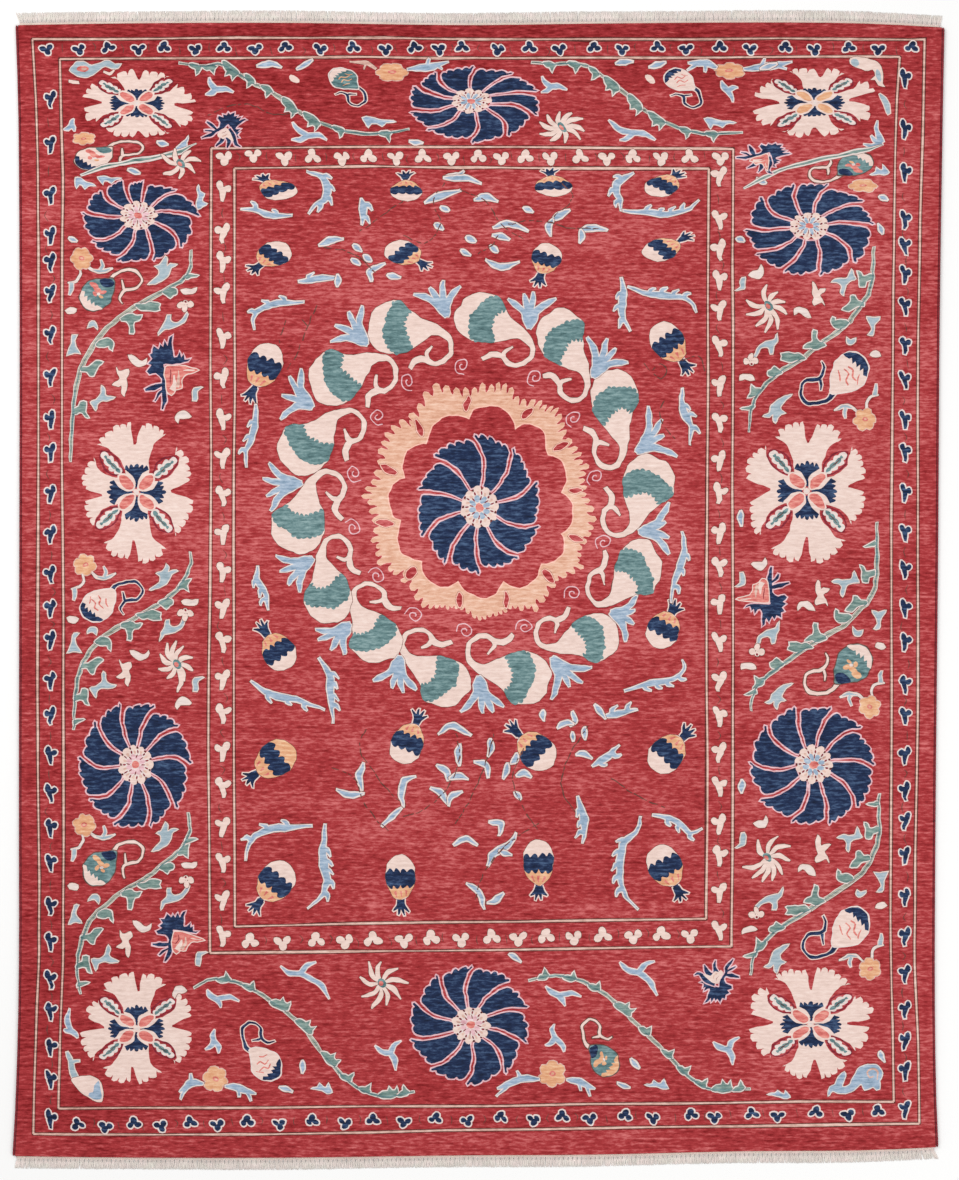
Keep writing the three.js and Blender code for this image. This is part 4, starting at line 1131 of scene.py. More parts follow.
for i, (x, y) in enumerate(STARS):
    turn = 180 if i > 2 else 0
    stems = [("mist", stroke([(-0.6, -2.4), (-0.5, -4.6), (-1.4, -6.1), (-3.8, -6.7)], [0.6, 0.7, 0.8, 0.4])),
             ("mist", stroke([(1.6, -2), (3.2, -3.4), (5.4, -3.6), (8.2, -2.5)], [0.6, 0.9, 1.4, 0.5]))]
    knot(stems, x, y, turn, 1, 0.96, edge=0.14)
    leaves = [("frost", stroke([(3.2, -3.3), (5.4, -3.6), (7.4, -2.8)], [0.2, 0.8, 0.2])),
              ("frost", stroke([(5, -3.2), (5.5, -2.1), (5, -0.5)], [0.7, 0.7, 0.3])),
              ("frost", stroke([(-2.8, -6.6), (-2.8, -8.2), (-3.1, -9.8)], [1.0, 1.0, 0.4]))]
    knot(leaves, x, y, turn, 1, 0.96, rim=0.24, rim_dye="ivory")
    star(x, y, 2.8)

TRILEAVES = [
    (-69.6, 132.8, [(-71.5, 135.8), (-65.2, 132), (-72.4, 131.4)]),
    (19.2, 133.4, [(17, 136.2), (23.4, 132.8), (16.8, 132)]),
    (-45.3, 120.6, [(-49.2, 124), (-49.4, 119.4), (-40.3, 119.5)]),
    (41.2, 121.2, [(34.6, 124.6), (37.5, 119.4), (46.6, 119.4)]),
    (66.2, 132.4, [(64.4, 134.8), (68.6, 133.4), (67.3, 129.6)]),
    (-69.4, -108.4, [(-72, -106.2), (-63.8, -108.9), (-68.4, -110.6)]),
    (-70.2, -119.4, [(-70, -116.8), (-72.2, -121.8), (-68.8, -122.6)]),
    (-47.2, -101.8, [(-52.4, -100), (-43.4, -98.8), (-39.6, -108.2)]),
    (-23.4, -122.8, [(-27.4, -121), (-20.8, -119.7), (-22, -127.2)]),
    (21.3, -107.4, [(18, -105.2), (27, -107.8), (22.8, -110.2)]),
    (20.2, -118.8, [(19.9, -115.4), (18, -120.8), (22.8, -122.4)]),
    (42.4, -101.4, [(37.4, -98.8), (46.4, -98.6), (47.2, -107.4)]),
    (66.2, -121.8, [(62.2, -120), (68.9, -118.6), (67.4, -125.8)]),
    (-108, 123, [(-109.8, 122), (-107.4, 124.8), (-107, 121.8)]),
    (-108.2, -117, [(-108.4, -111), (-110, -116.6), (-106.4, -118.6)]),
    (107, 118.6, [(102.2, 118.2), (105.8, 124.2), (104.2, 120.4)]),
]
for row in TRILEAVES:
    trileaf(*row)
BORDER_LEAVES = [
    [(-92.8, 111.4), (-90, 110.6)],
    [(-85.2, 118.8), (-82.6, 118.2)],
    [(-108.4, 93.4), (-106.6, 92.6)],
    [(106.4, 104.4), (108.4, 103.4)], [(74, 109), (76.2, 108)],
    [(68.6, 93.4), (70.4, 92.4)],
    [(-58.6, 139), (-55, 139.6), (-52.4, 138.6)], [(-48, 138.2), (-44, 140.4)],
    [(-18, 118.9), (-15, 118.6)],
    [(36.4, 139.6), (40.8, 140.2)], [(45.4, 138.6), (49.6, 140)], [(75, 138.2), (79, 139.6)],
    [(-46.7, -125), (-46.7, -128)], [(-52.6, -131.8), (-49.4, -133)],
    [(8.4, -96.6), (11.2, -98.4)], [(40.4, -124.4), (42.6, -126.8)],
    [(37, -130.8), (40, -132)],
    [(106.4, -122.6), (107.6, -125)], [(106, 97), (107.2, 94.6)],
]
for points in BORDER_LEAVES:
    leaf(points, knotter.uniform(1.3, 1.7))
FORKED = [(-3.2, 0.6), (-1.6, 0.9), (0, 0.2), (1.4, -0.1), (3.6, -0.5), (1.6, -0.9), (0.8, -1.9), (-0.2, -1),
          (-1.4, -0.8), (-2, -2), (-2.6, -0.8)]
for x, y, turn, wide, tall in (
    (-26.6, 124.6, 0, 1.25, 0.85), (63.8, 124.3, 0, 1.15, 0.85), (-41.4, -132.6, 180, 0.8, 0.8),
    (47.4, -131.6, 180, 0.9, 0.8), (79.8, -134.1, 180, 0.8, 0.6), (-98, 109.2, 5, 0.85, 0.6),
    (-104.6, 108.2, -12, 0.8, 0.9), (-78.8, 118, 60, 0.8, 0.8), (-74.2, 104, 100, 0.9, 0.9),
    (106.6, 110.6, 200, 0.7, 0.8),
):
    knot([("sky", line(FORKED, True, 0.8))], x, y, turn, wide, tall, rim=0.28, rim_dye="mist", edge=0.1)
knot([("ivory", oval(-49, 135.5, 1.6, 0.9, -35, 10)), ("ivory", oval(45.5, 135.5, 1.6, 0.9, -35, 10))])
TOP_STEMS = [
    [(-105.5, 110), (-100, 112), (-93, 113.5), (-87, 114.5), (-80, 116), (-75, 118.5)],
    [(70.4, 106.4), (74, 108.4), (78, 110.5), (84, 112.5), (90, 114), (97, 115.5), (103, 116.8), (107, 118)],
]
for points in TOP_STEMS:
    knot([("mist", stroke(points, [0.6, 1.3, 1.0, 1.5, 1.2, 1.6, 0.4])),
          ("sage", stroke(points, [0.1, 0.6, 0.3, 0.8, 0.4, 0.8, 0.1]))], edge=0.1)


# -- palmettes: a coral cup in a ragged navy collar, and open ivory ones of curling strokes
def palmette(x, y, turn, wide=1.0, tall=1.0, cup="coral", core=1.0):
    """A ragged navy crown stands behind the cup, which opens to the right, over two split leaves."""
    crown = [(-2, 2.6), (0.4, 2.7), (2.6, 2.8), (4.6, 3.3), (5.1, 4), (3.7, 3.6), (3.2, 5.2), (2.7, 4.4),
             (2.3, 6), (1.7, 4.6), (1, 4.4), (0.4, 5.8), (0.3, 8.2), (0.5, 10.2), (-0.2, 9.6), (-0.9, 7.4),
             (-1.6, 8.9), (-2.2, 7), (-2.9, 7.9), (-3.3, 6.6), (-4.6, 7.4), (-4.8, 5.6), (-5.7, 5.2),
             (-5, 4), (-6, 2.8), (-5.1, 2.2), (-6.4, 0.6), (-5.8, -0.2), (-3.8, 0.2), (-2.4, -1.2),
             (-2.2, -3.4), (-1.6, -3.2), (-1.4, 0.4)]
    stem = stroke([(-1.9, 0), (-1.9, -3.6), (-1.6, -6), (-2.2, -9.4)], [0.9, 0.9, 1.3, 0.4])
    spray = stroke([(-1.8, -2.6), (-3.8, -3.3), (-6.8, -4.3)], [0.7, 1.6, 0.5])
    barb = stroke([(-2, -4.2), (-3.2, -5.4), (-4.2, -7.2)], [0.5, 0.8, 0.4])
    knot([("indigo", line(crown, True, 0.9)), ("indigo", stem), ("indigo", spray), ("indigo", barb)],
         x, y, turn, wide, tall, rim=0.34)
    if core < 1:
        knot([("indigo", stroke([(0, 1.5), (3.6, 1.9), (6.4, 1), (8, 2.2)], [2.4, 2.2, 1.6, 0.3])),
              ("indigo", stroke([(0, 0), (3.8, -0.8), (6.4, -2.6)], [2.4, 2.0, 1.4, 0.3])),
              ("indigo", stroke([(0, -1), (2.4, -3.4), (3.2, -6.2)], [2.4, 1.8, 1.2, 0.3]))],
             x, y, turn, wide, tall, rim=0.3)
    bowl = [(-1.4, 2), (0.8, 2.2), (3, 2.1), (5.6, 1.6), (7.4, 1.1), (5.4, 0.3), (3.6, -0.2), (3, -1.6),
            (2.8, -3.6), (1.2, -4.2), (0.3, -5.6), (-0.9, -4.8), (-1.3, -2.6), (-1.5, -0.2)]
    knot([(cup, line(bowl, True, 0.8))], x, y, turn, wide * core, tall * core, rim=0.26, rim_dye="ivory")
    flames = [("ivory", stroke([(0.3, -4.4), (1, -2.6), (0.9, -0.4)], [1.6, 1.2, 0.3])),
              ("cream", stroke([(1.6, -3.6), (2.2, -1.8), (1.9, 0.8)], [1.0, 0.7, 0.3])),
              ("wine", stroke([(-0.3, -2.6), (0.1, -0.6), (-0.2, 1.2)], [0.15, 0.3, 0.15])),
              ("ivory", stroke([(3.4, 0.9), (5.2, 1.1), (6.4, 1.1)], [0.2, 0.5, 0.2]))]
    knot(flames, x, y, turn, wide * core, tall * core)


def open_palmette(x, y, *tips):
    """An open ivory flower: curling petals with the ground between them, round a coral heart."""
    shapes = []
    for tip in tips:
        away = np.array(tip, float) - (x, y)
        swirl = np.array([-away[1], away[0]]) * 0.16
        shapes.append(("ivory", stroke([(0, 0), away * 0.5 + swirl, away], [0.3, 0.9, 1.25, 1.3, 1.0, 0.4])))
    knot(shapes, x, y, edge=0.13)
    knot([("teal", oval(0.2, 0.1, 1.5, 0.9, -50, 10)), ("coral", oval(0, 0, 0.8, 0.5, -50, 8))], x, y)


palmette(-81.6, 57.3, 0)
palmette(-79.6, -92.3, -12, 0.95, 0.74)
palmette(75.6, -1.5, 180, 0.98, 0.8)
palmette(-67.2, 121.6, -60, 0.68, 0.64, "ivory", 0.6)
palmette(63.2, -103.2, 155, 0.74, 0.7, "ivory", 0.6)
palmette(75.4, 114.6, -80, 0.56, 0.74, "coral", 0.8)
open_palmette(-80.2, -19.8, (-82.5, -14), (-80.2, -13.3), (-78.3, -15), (-75.8, -17.8), (-75.8, -21.5),
              (-78, -24.2), (-79.8, -27), (-82.8, -23.6), (-85, -20.8), (-84.6, -17))
open_palmette(76.7, 75.3, (76.3, 81), (79.4, 79), (81.4, 76.4), (81.7, 73), (79.3, 69), (76, 68.3),
              (73.6, 70), (71, 73.2), (71, 77))
open_palmette(76.5, -71, (79.3, -65.2), (82.8, -67.8), (82.5, -71.8), (80.5, -75.4), (78, -77), (75, -77.5),
              (72.3, -76.4), (70, -73.5), (74, -66.3))
open_palmette(-79, 113, (-84, 115.6), (-80.6, 117), (-76.2, 116.6), (-73.6, 113.8), (-75.2, 110.6),
              (-79.4, 109), (-83.6, 110.4))
open_palmette(22, 122.6, (16, 124.2), (18.2, 126.2), (21.5, 126.8), (24.8, 126.6), (27.8, 125), (28.2, 121.6),
              (27, 119.4), (23, 118.6), (19, 119), (16.2, 121))
open_palmette(-25.8, -104.4, (-28.9, -98.6), (-31.4, -102.6), (-26, -98.4), (-21.4, -100.4), (-18.4, -104.4),
              (-20.6, -108.6), (-24.4, -110), (-28.6, -111), (-31, -107.8))

# -- corner buds
knot([("frost", line([(-108.4, 137.8), (-106.8, 139.8), (-104.6, 140), (-102.4, 139.2), (-100.6, 139.8),
                      (-98.4, 140.4), (-96.4, 139.4), (-94.6, 139.6), (-96.6, 138.2), (-99, 138.8),
                      (-101, 137.6), (-103, 136.4), (-105.4, 136.1), (-107.2, 136.8)], True, 0.8))],
     rim=0.22, rim_dye="ivory", edge=0.1)
knot([("coral", oval(-105, 138.2, 1.7, 0.8, 5, 10)), ("cream", oval(-104.7, 138.2, 0.8, 0.35, 5, 8))])
knot([("ivory", stroke([(-99.4, 137.4), (-97.8, 136.9), (-96.6, 137.9)], [0.5, 0.9, 0.4])),
      ("ivory", stroke([(-108.8, 134.9), (-107.2, 134.6), (-105.8, 134.7)], [0.8, 0.9, 0.7]))], edge=0.1)
knot([("ivory", line([(98.4, 139.4), (98.8, 141), (101.4, 141.3), (104.4, 140.6), (106.8, 138.8),
                      (107.4, 136.2), (107, 134.4), (107.8, 133.4), (106, 134), (105, 135.2), (103.8, 135.2),
                      (105.2, 136.4), (104.6, 138), (103.4, 137.6), (101.6, 138.2)], True, 0.8))], edge=0.13)
knot([("frost", oval(99.9, 139.8, 1.2, 1.0, 0, 10)), ("frost", oval(106.1, 136.4, 0.7, 1.6, 12, 10))])
knot([("frost", stroke([(106.4, 131.6), (107.8, 129.4), (109, 126.4)], [0.4, 1.5, 1.3, 0.8]))],
     rim=0.26, rim_dye="ivory")
# bottom left: a bulb on a forked stalk
knot([("frost", stroke([(-109.2, -122.4), (-108.1, -124.6), (-107.8, -127.4), (-106.6, -130)],
                       [0.5, 1.3, 1.4, 1.7])),
      ("frost", stroke([(-107.8, -125.2), (-105.7, -124.9)], [0.9, 0.4]))],
     rim=0.24, rim_dye="ivory", edge=0.1)
knot([("ivory", line([(-107.9, -130), (-106.2, -129), (-103.6, -128.7), (-101.4, -129.5), (-99.8, -131.6),
                      (-99.4, -134), (-100.2, -135.7), (-102, -135.4), (-104.6, -134), (-106.6, -132)],
                     True))], edge=0.13)
chart.append(("sky", line([(-101, -130.2), (-100.3, -132), (-99.9, -134.6), (-101.4, -135.1),
                           (-103.6, -134.3), (-103.2, -133.4), (-102.2, -133.2), (-101.8, -131.6)],
                          True, 0.8)))
# bottom right: a long blue leaf that rears up, with a pink curl in its head
knot([("sky", line([(92.6, -134.2), (93.3, -131.9), (94.6, -131.2), (95, -129.8), (96, -128.8), (97, -128),
                    (97.5, -129), (96.6, -130.4), (96.4, -131.7), (98, -131.4), (99.2, -129.8),
                    (100.3, -127.4), (101.8, -126.2), (104, -125.9), (106, -126.4), (107.1, -128),
                    (106.9, -129.4), (106.2, -130), (106.4, -132.2), (105.6, -132.5), (104.8, -131.7),
                    (102.4, -132.6), (101.6, -131), (100.2, -132), (98.8, -133), (96, -133.4), (94, -133)],
                   True, 0.7))], rim=0.24, rim_dye="mist", edge=0.1)
chart.append(("cream", stroke([(105.6, -129.8), (106, -128), (104.6, -127), (103.2, -128), (103.6, -129.4),
                               (104.8, -129)],
                              [0.3, 0.5, 0.55, 0.5, 0.3])))

# The body of the rug is cut to the line that the loom gave it: its sides drift a little, and
# the chart's shapes bend with the weave. The sheared top is one skin, each bit in its own dye.
TOP_Z = 0.0096
WIDEST_Z = 0.008
KNOT_LINE_Z = 0.0030
SHOULDER = 0.22
low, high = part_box("rug_body")
chart_origin = np.array([(low.x + high.x) / 2, (low.y + high.y) / 2])


def to_metres(points):
    """From the chart's centimetres to the rug's place in the scene."""
    return (np.asarray(points) - CHART_MIDDLE) / 100 + chart_origin


def edge_line():
    """The widest line round the body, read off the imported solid, in chart centimetres."""
    found = np.array([v.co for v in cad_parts["rug_body"].data.vertices])
    level = found[np.abs(found[:, 2] - WIDEST_Z) < 0.0004][:, :2] - chart_origin
    turn = np.arctan2(level[:, 1], level[:, 0])
    ring = level[np.argsort(turn)] * 100 + CHART_MIDDLE
    apart = np.linalg.norm(ring - np.roll(ring, 1, 0), axis=1) > 0.3
    return ring[apart]


def weave_drift(p):
    """How far hand knotting carries a line off the chart."""
    x, y = p[:, 0], p[:, 1]
    dx = 0.13 * np.sin(0.61 * x + 1.3 * y) + 0.08 * np.sin(2.3 * y + 0.7 * x + 1.0)
    dy = 0.11 * np.sin(0.83 * x - 0.5 * y + 2.0) + 0.07 * np.sin(2.7 * x + 0.9 * y)
    return p + np.stack([dx, dy], 1)


def triangles(points, edges):
    """A flat net of triangles that holds all the edges, and its faces' corners."""
    found, _, faces, came_from, _, _ = delaunay_2d_cdt(
        [Vector(p) for p in points.tolist()], edges.tolist(), [], 0, 1e-4, True
    )
    return np.array([(v.x, v.y) for v in found]), np.array(faces), came_from


BATCH = 20000


def winding(p, outline):
    """How many times an outline goes round each point."""
    a, b = outline, np.roll(outline, -1, 0)
    turns = np.zeros(len(p), int)
    for start in range(0, len(p), BATCH):
        q = p[start:start + BATCH]
        side = (b[:, 0] - a[:, 0]) * (q[:, 1:2] - a[:, 1]) - (q[:, 0:1] - a[:, 0]) * (b[:, 1] - a[:, 1])
        rising = (a[:, 1] <= q[:, 1:2]) & (b[:, 1] > q[:, 1:2]) & (side > 0)
        falling = (a[:, 1] > q[:, 1:2]) & (b[:, 1] <= q[:, 1:2]) & (side < 0)
        turns[start:start + BATCH] = rising.sum(1) - falling.sum(1)
    return turns


# Each dye as its deep, middle and pale wool, and how strongly its rows and its lots, with the painted pile
# sheen, show.
DYE_CARDS = {
    "madder": ((118, 6, 12), (168, 52, 56), (214, 116, 116), 1.05, 0.8),
    "indigo": ((4, 12, 34), (27, 43, 77), (80, 104, 138), 1.1, 0.35),
    "ivory": ((202, 176, 166), (230, 204, 194), (248, 230, 222), 0.7, 0.2),
    "peach": ((188, 126, 96), (224, 174, 148), (246, 212, 192), 0.9, 0.4),
    "ochre": ((196, 122, 82), (222, 167, 128), (248, 214, 178), 0.9, 0.3),
    "coral": ((166, 60, 56), (216, 121, 114), (238, 178, 162), 1.1, 0.3),
    "teal": ((36, 66, 70), (99, 130, 132), (152, 178, 178), 1.0, 0.4),
    "sky": ((100, 128, 150), (155, 174, 195), (202, 213, 224), 1.0, 0.2),
    "frost": ((114, 136, 148), (162, 179, 188), (206, 212, 216), 0.8, 0.2),
    "sage": ((58, 92, 88), (117, 141, 135), (170, 186, 176), 1.0, 0.4),
    "mist": ((186, 168, 164), (226, 210, 204), (244, 234, 228), 0.7, 0.2),
    "blush": ((176, 112, 122), (224, 182, 188), (246, 220, 224), 0.9, 0.2),
    "shell": ((224, 150, 136), (244, 190, 172), (255, 216, 202), 0.9, 0.3),
    "cream": ((164, 118, 106), (216, 178, 164), (240, 216, 204), 1.0, 0.5),
    "umber": ((46, 12, 14), (98, 42, 38), (144, 76, 68), 0.9, 0.3),
    "moss": ((106, 102, 90), (170, 166, 150), (208, 202, 188), 1.0, 0.3),
    "wine": ((84, 10, 26), (128, 34, 48), (168, 66, 80), 0.8, 0.3),
    "dusk": ((70, 36, 32), (104, 64, 56), (150, 96, 86), 0.9, 0.3),
}
DYES = list(DYE_CARDS)


def dyes_at(p):
    """The dye of the last shape on the chart over each point, or the ground's."""
    found = np.zeros(len(p), int)
    by_x = np.argsort(p[:, 0])
    sorted_x = p[by_x, 0]
    for dye, outline in chart:
        least, most = outline.min(0), outline.max(0)
        first, last = np.searchsorted(sorted_x, [least[0], most[0]])
        near = by_x[first:last]
        near = near[(p[near, 1] > least[1]) & (p[near, 1] < most[1])]
        if len(near):
            found[near[winding(p[near], outline) != 0]] = DYES.index(dye)
    return found


HAIR = 0.022


def thinned(outline):
    """The outline without the points that lie a hair off the line between their neighbours."""
    for odd in (1, 0):
        before, after = np.roll(outline, 1, 0), np.roll(outline, -1, 0)
        over, across = outline - before, after - before
        square = np.abs(over[:, 0] * across[:, 1] - over[:, 1] * across[:, 0])
        off = square / (np.linalg.norm(across, axis=1) + 1e-9)
        turns = np.einsum("ij,ij->i", over, after - outline) < 0
        keep = (off > HAIR) | turns | (np.arange(len(outline)) % 2 == odd)
        if keep.sum() < 6:
            break
        outline = outline[keep]
    return outline


def dyed_net(points, edges):
    """The triangles of a net that lie on the body's top, and the dye of each."""
    places, faces, came_from = triangles(points, edges)
    centres = places[faces].mean(1)
    inside = winding(centres, top_line) != 0
    return places, faces[inside], dyes_at(centres[inside]), came_from


rim_line = edge_line()
top_line = grow(rim_line, -SHOULDER)
chart = [(dye, weave_drift(thinned(outline))) for dye, outline in chart]
verts, edges, total = [], [], 0
for outline in [top_line] + [outline for _, outline in chart]:
    ring = np.arange(len(outline)) + total
    verts.append(outline)
    edges.append(np.stack([ring, np.roll(ring, -1)], 1))
    total += len(outline)
flat, tris, dye_of, _ = dyed_net(np.vstack(verts), np.vstack(edges))
# Only the lines that part two dyes go into the second net, with a loose grid for the ripples.
pairs = np.sort(np.vstack([tris[:, [0, 1]], tris[:, [1, 2]], tris[:, [2, 0]]]), 1)
owner = np.tile(dye_of, 3)
order = np.lexsort((pairs[:, 1], pairs[:, 0]))
pairs, owner = pairs[order], owner[order]
seam = np.all(pairs[1:] == pairs[:-1], axis=1) & (owner[1:] != owner[:-1])
seams = pairs[1:][seam]
used = np.unique(seams)
renumber = np.zeros(len(flat), int)
renumber[used] = np.arange(len(used)) + len(top_line)
GRID = 4.0
spread_x, spread_y = np.meshgrid(np.arange(-120, 121, GRID), np.arange(-148, 149, GRID))
ring = np.arange(len(top_line))
flat, tris, dye_of, came_from = dyed_net(
    np.vstack([top_line, flat[used], np.stack([spread_x.ravel(), spread_y.ravel()], 1)]),
    np.vstack([np.stack([ring, np.roll(ring, -1)], 1), renumber[seams]]),
)

# Abrash and painted pile sheen: the ground's slow drift from one dye lot to the next, with painted lighter
# and darker patches where the pile's sheen changes with the way it lies, as soft patches (x, y, reach
# across, reach up and amount), below 0 where the wool is deeper.
ABRASH_AND_SHEEN = [
    (-60, 135, 60, 22, -0.5), (60, 140, 70, 14, -0.42), (-114, -110, 18, 45, -0.42),
    (-118, -30, 12, 50, -0.2), (-112, 55, 18, 36, 0.14), (100, 100, 26, 22, 0.3), (108, 62, 24, 40, 0.2),
    (0, 13, 55, 32, 0.3), (0, 19, 140, 11, 0.2), (-82, 106, 24, 20, -0.2), (22, 106, 44, 20, 0.16),
    (-30, 82, 14, 10, 0.24), (32, 80, 14, 12, 0.2), (0, 41, 20, 8, -0.32), (0, 58, 60, 7, -0.14),
    (24, -14, 34, 14, 0.2), (119, 25, 10, 40, -0.15), (-60, -112, 50, 25, -0.15), (90, -70, 40, 60, 0.1),
    (-80, -143, 40, 9, -0.2), (0, 148, 130, 3, -0.3), (0, -147, 130, 5, -0.1), (-120, 150, 30, 12, -0.3),
    (-68, 10, 3.5, 100, 0.16), (64, 10, 3.5, 100, 0.12), (0, 115, 70, 3, 0.12), (0, 143, 110, 2.5, 0.2),
    (20, -132, 90, 10, -0.12), (-6, -60, 24, 16, 0.16), (-22, 80, 20, 22, 0.1),
]


def abrash_at(p):
    """The ground's dye-lot drift and its painted pile sheen at chart points."""
    tone = np.zeros(len(p))
    for x, y, rx, ry, amount in ABRASH_AND_SHEEN:
        tone += amount * np.exp(-(((p[:, 0] - x) / rx) ** 2 + ((p[:, 1] - y) / ry) ** 2))
    wander = np.sin(p[:, 0] * 0.41 + 2 * np.sin(p[:, 1] * 0.23))
    return tone + 0.09 * wander * np.sin(p[:, 1] * 0.53 + p[:, 0] * 0.11)


def ripple(p):
    """The rug's own slight waves on the floor, in metres."""
    x, y = p[:, 0] / 100, p[:, 1] / 100
    wave = np.sin(3.1 * x + 1.7 * y) + np.sin(5.3 * y - 2.2 * x + 1) + 0.6 * np.sin(9.1 * x + 4.0 * y + 2)
    return 0.00018 * wave


used = np.unique(tris)
renumber = np.full(len(flat), -1)
renumber[used] = np.arange(len(used))
tris = renumber[tris]
flat = flat[used]
top_ring = np.zeros(len(top_line), int)
for index, olds in enumerate(came_from):
    for old in olds:
        if old < len(top_line):
            top_ring[old] = renumber[index]
first_side = flat[tris[:, 1]] - flat[tris[:, 0]]
last_side = flat[tris[:, 2]] - flat[tris[:, 0]]
clockwise = first_side[:, 0] * last_side[:, 1] - first_side[:, 1] * last_side[:, 0] < 0
tris[clockwise] = tris[clockwise][:, ::-1]


def wall(rings):
    """Quads between rings of equal length, given from the top down."""
    made = []
    for upper, lower in zip(rings, rings[1:]):
        for i in range(len(upper)):
            j = (i + 1) % len(upper)
            made.append((upper[i], lower[i], lower[j], upper[j]))
    return made


def mesh_piece(name, coords, faces, uv, **values):
    """A smooth piece with its map, one place to a face's corner, and its values, one to a vertex."""
    mesh = bpy.data.meshes.new(name)
    mesh.from_pydata(np.asarray(coords).tolist(), [], faces)
    mesh.polygons.foreach_set("use_smooth", np.ones(len(faces), bool))
    for key, value in values.items():
        mesh.attributes.new(key, "FLOAT", "POINT").data.foreach_set("value", np.asarray(value, np.float32))
    mesh.uv_layers.new(name="OFBake").data.foreach_set("uv", np.asarray(uv, np.float32).ravel())
    mesh.update()
    piece = bpy.data.objects.new(name, mesh)
    scene.collection.objects.link(piece)
    return piece


MAP_WIDE = 252
MAP_TALL = 308


def closed_skin(name, heights, levels, up):
    """The chart's skin at its heights on one face, a rounded edge through the levels, each an inset
    and a height, and a plain face behind."""
    count = len(flat)
    coords = [np.column_stack([to_metres(flat), heights])]
    rings = [list(top_ring)]
    places = [flat]
    # On the map each level lies a little further out than the one above it.
    for inset, z in levels:
        around = grow(rim_line, inset)
        rings.append(list(range(count, count + len(around))))
        coords.append(np.column_stack([to_metres(around), np.full(len(around), z)]))
        places.append(grow(rim_line, inset + (KNOT_LINE_Z + TOP_Z) * 50 * (1 - z / TOP_Z)))
        count += len(around)
    last = rings[-1]
    coords.append([[*chart_origin, levels[-1][1]]])
    places.append(np.zeros((1, 2)))
    behind = [(last[i], count, last[(i + 1) % len(last)]) for i in range(len(last))]
    edge_faces = wall(rings)
    faces = [tuple(f) for f in tris.tolist()] + edge_faces + behind
    if not up:
        faces = [f[::-1] for f in faces]
    places = np.vstack(places)
    corner = np.array([v for face in faces for v in face])
    uv = (places[corner] + (MAP_WIDE / 2, MAP_TALL / 2)) / (MAP_WIDE, MAP_TALL)
    # What lies behind shares one small corner of the map.
    uv[-3 * len(behind):] = 0.002 + uv[-3 * len(behind):] * 0.006
    # the abrash attribute holds the dye-lot drift and the painted light and dark patches of pile sheen
    piece = mesh_piece(name, np.vstack(coords), faces, uv, abrash=abrash_at(places))
    slots = np.concatenate([dye_of, np.zeros(len(edge_faces) + len(behind), int)])
    piece.data.polygons.foreach_set("material_index", slots.astype(np.int32))
    return piece


pile_levels = [(-0.07, 0.0090), (0.0, WIDEST_Z), (0.0, 0.0055), (-0.02, KNOT_LINE_Z)]
pile = closed_skin("wool_pile", TOP_Z + ripple(flat), pile_levels, True)


def linear(r, g, b):
    """A dye's colour from its 0 to 255 card values."""
    return tuple(((c / 255 + 0.055) / 1.055) ** 2.4 if c > 10 else c / 3294.6 for c in (r, g, b)) + (1.0,)


def node_with(tree, kind, **values):
    """A new node with its plain settings made."""
    node = tree.nodes.new(kind)
    for key, value in values.items():
        setattr(node, key, value)
    return node


def set_inputs(node, values):
    """Sets a node's inputs to plain values."""
    for socket, value in values.items():
        node.inputs[socket].default_value = value


def math_node(tree, operation, a, b, clamp=False):
    """What an operation makes of two sockets or numbers."""
    node = node_with(tree, "ShaderNodeMath", operation=operation, use_clamp=clamp)
    for slot, value in ((0, a), (1, b)):
        if hasattr(value, "is_output"):
            tree.links.new(value, node.inputs[slot])
        else:
            node.inputs[slot].default_value = value
    return node.outputs[0]


def times(tree, a, b):
    """One socket or number times another."""
    return math_node(tree, "MULTIPLY", a, b)


def streak_noise(tree, place, size_x, size_y, detail, shift=0.0):
    """Noise stretched along the rows of knots, as a value round 0."""
    stretch = node_with(tree, "ShaderNodeMapping")
    start = (shift, shift * 1.7, shift * 0.3)
    set_inputs(stretch, {"Scale": (1 / size_x, 1 / size_y, 1.0), "Location": start})
    tree.links.new(place, stretch.inputs["Vector"])
    noise = node_with(tree, "ShaderNodeTexNoise")
    set_inputs(noise, {"Scale": 1.0, "Detail": detail, "Roughness": 0.6})
    tree.links.new(stretch.outputs[0], noise.inputs["Vector"])
    return math_node(tree, "SUBTRACT", noise.outputs[0], 0.5)


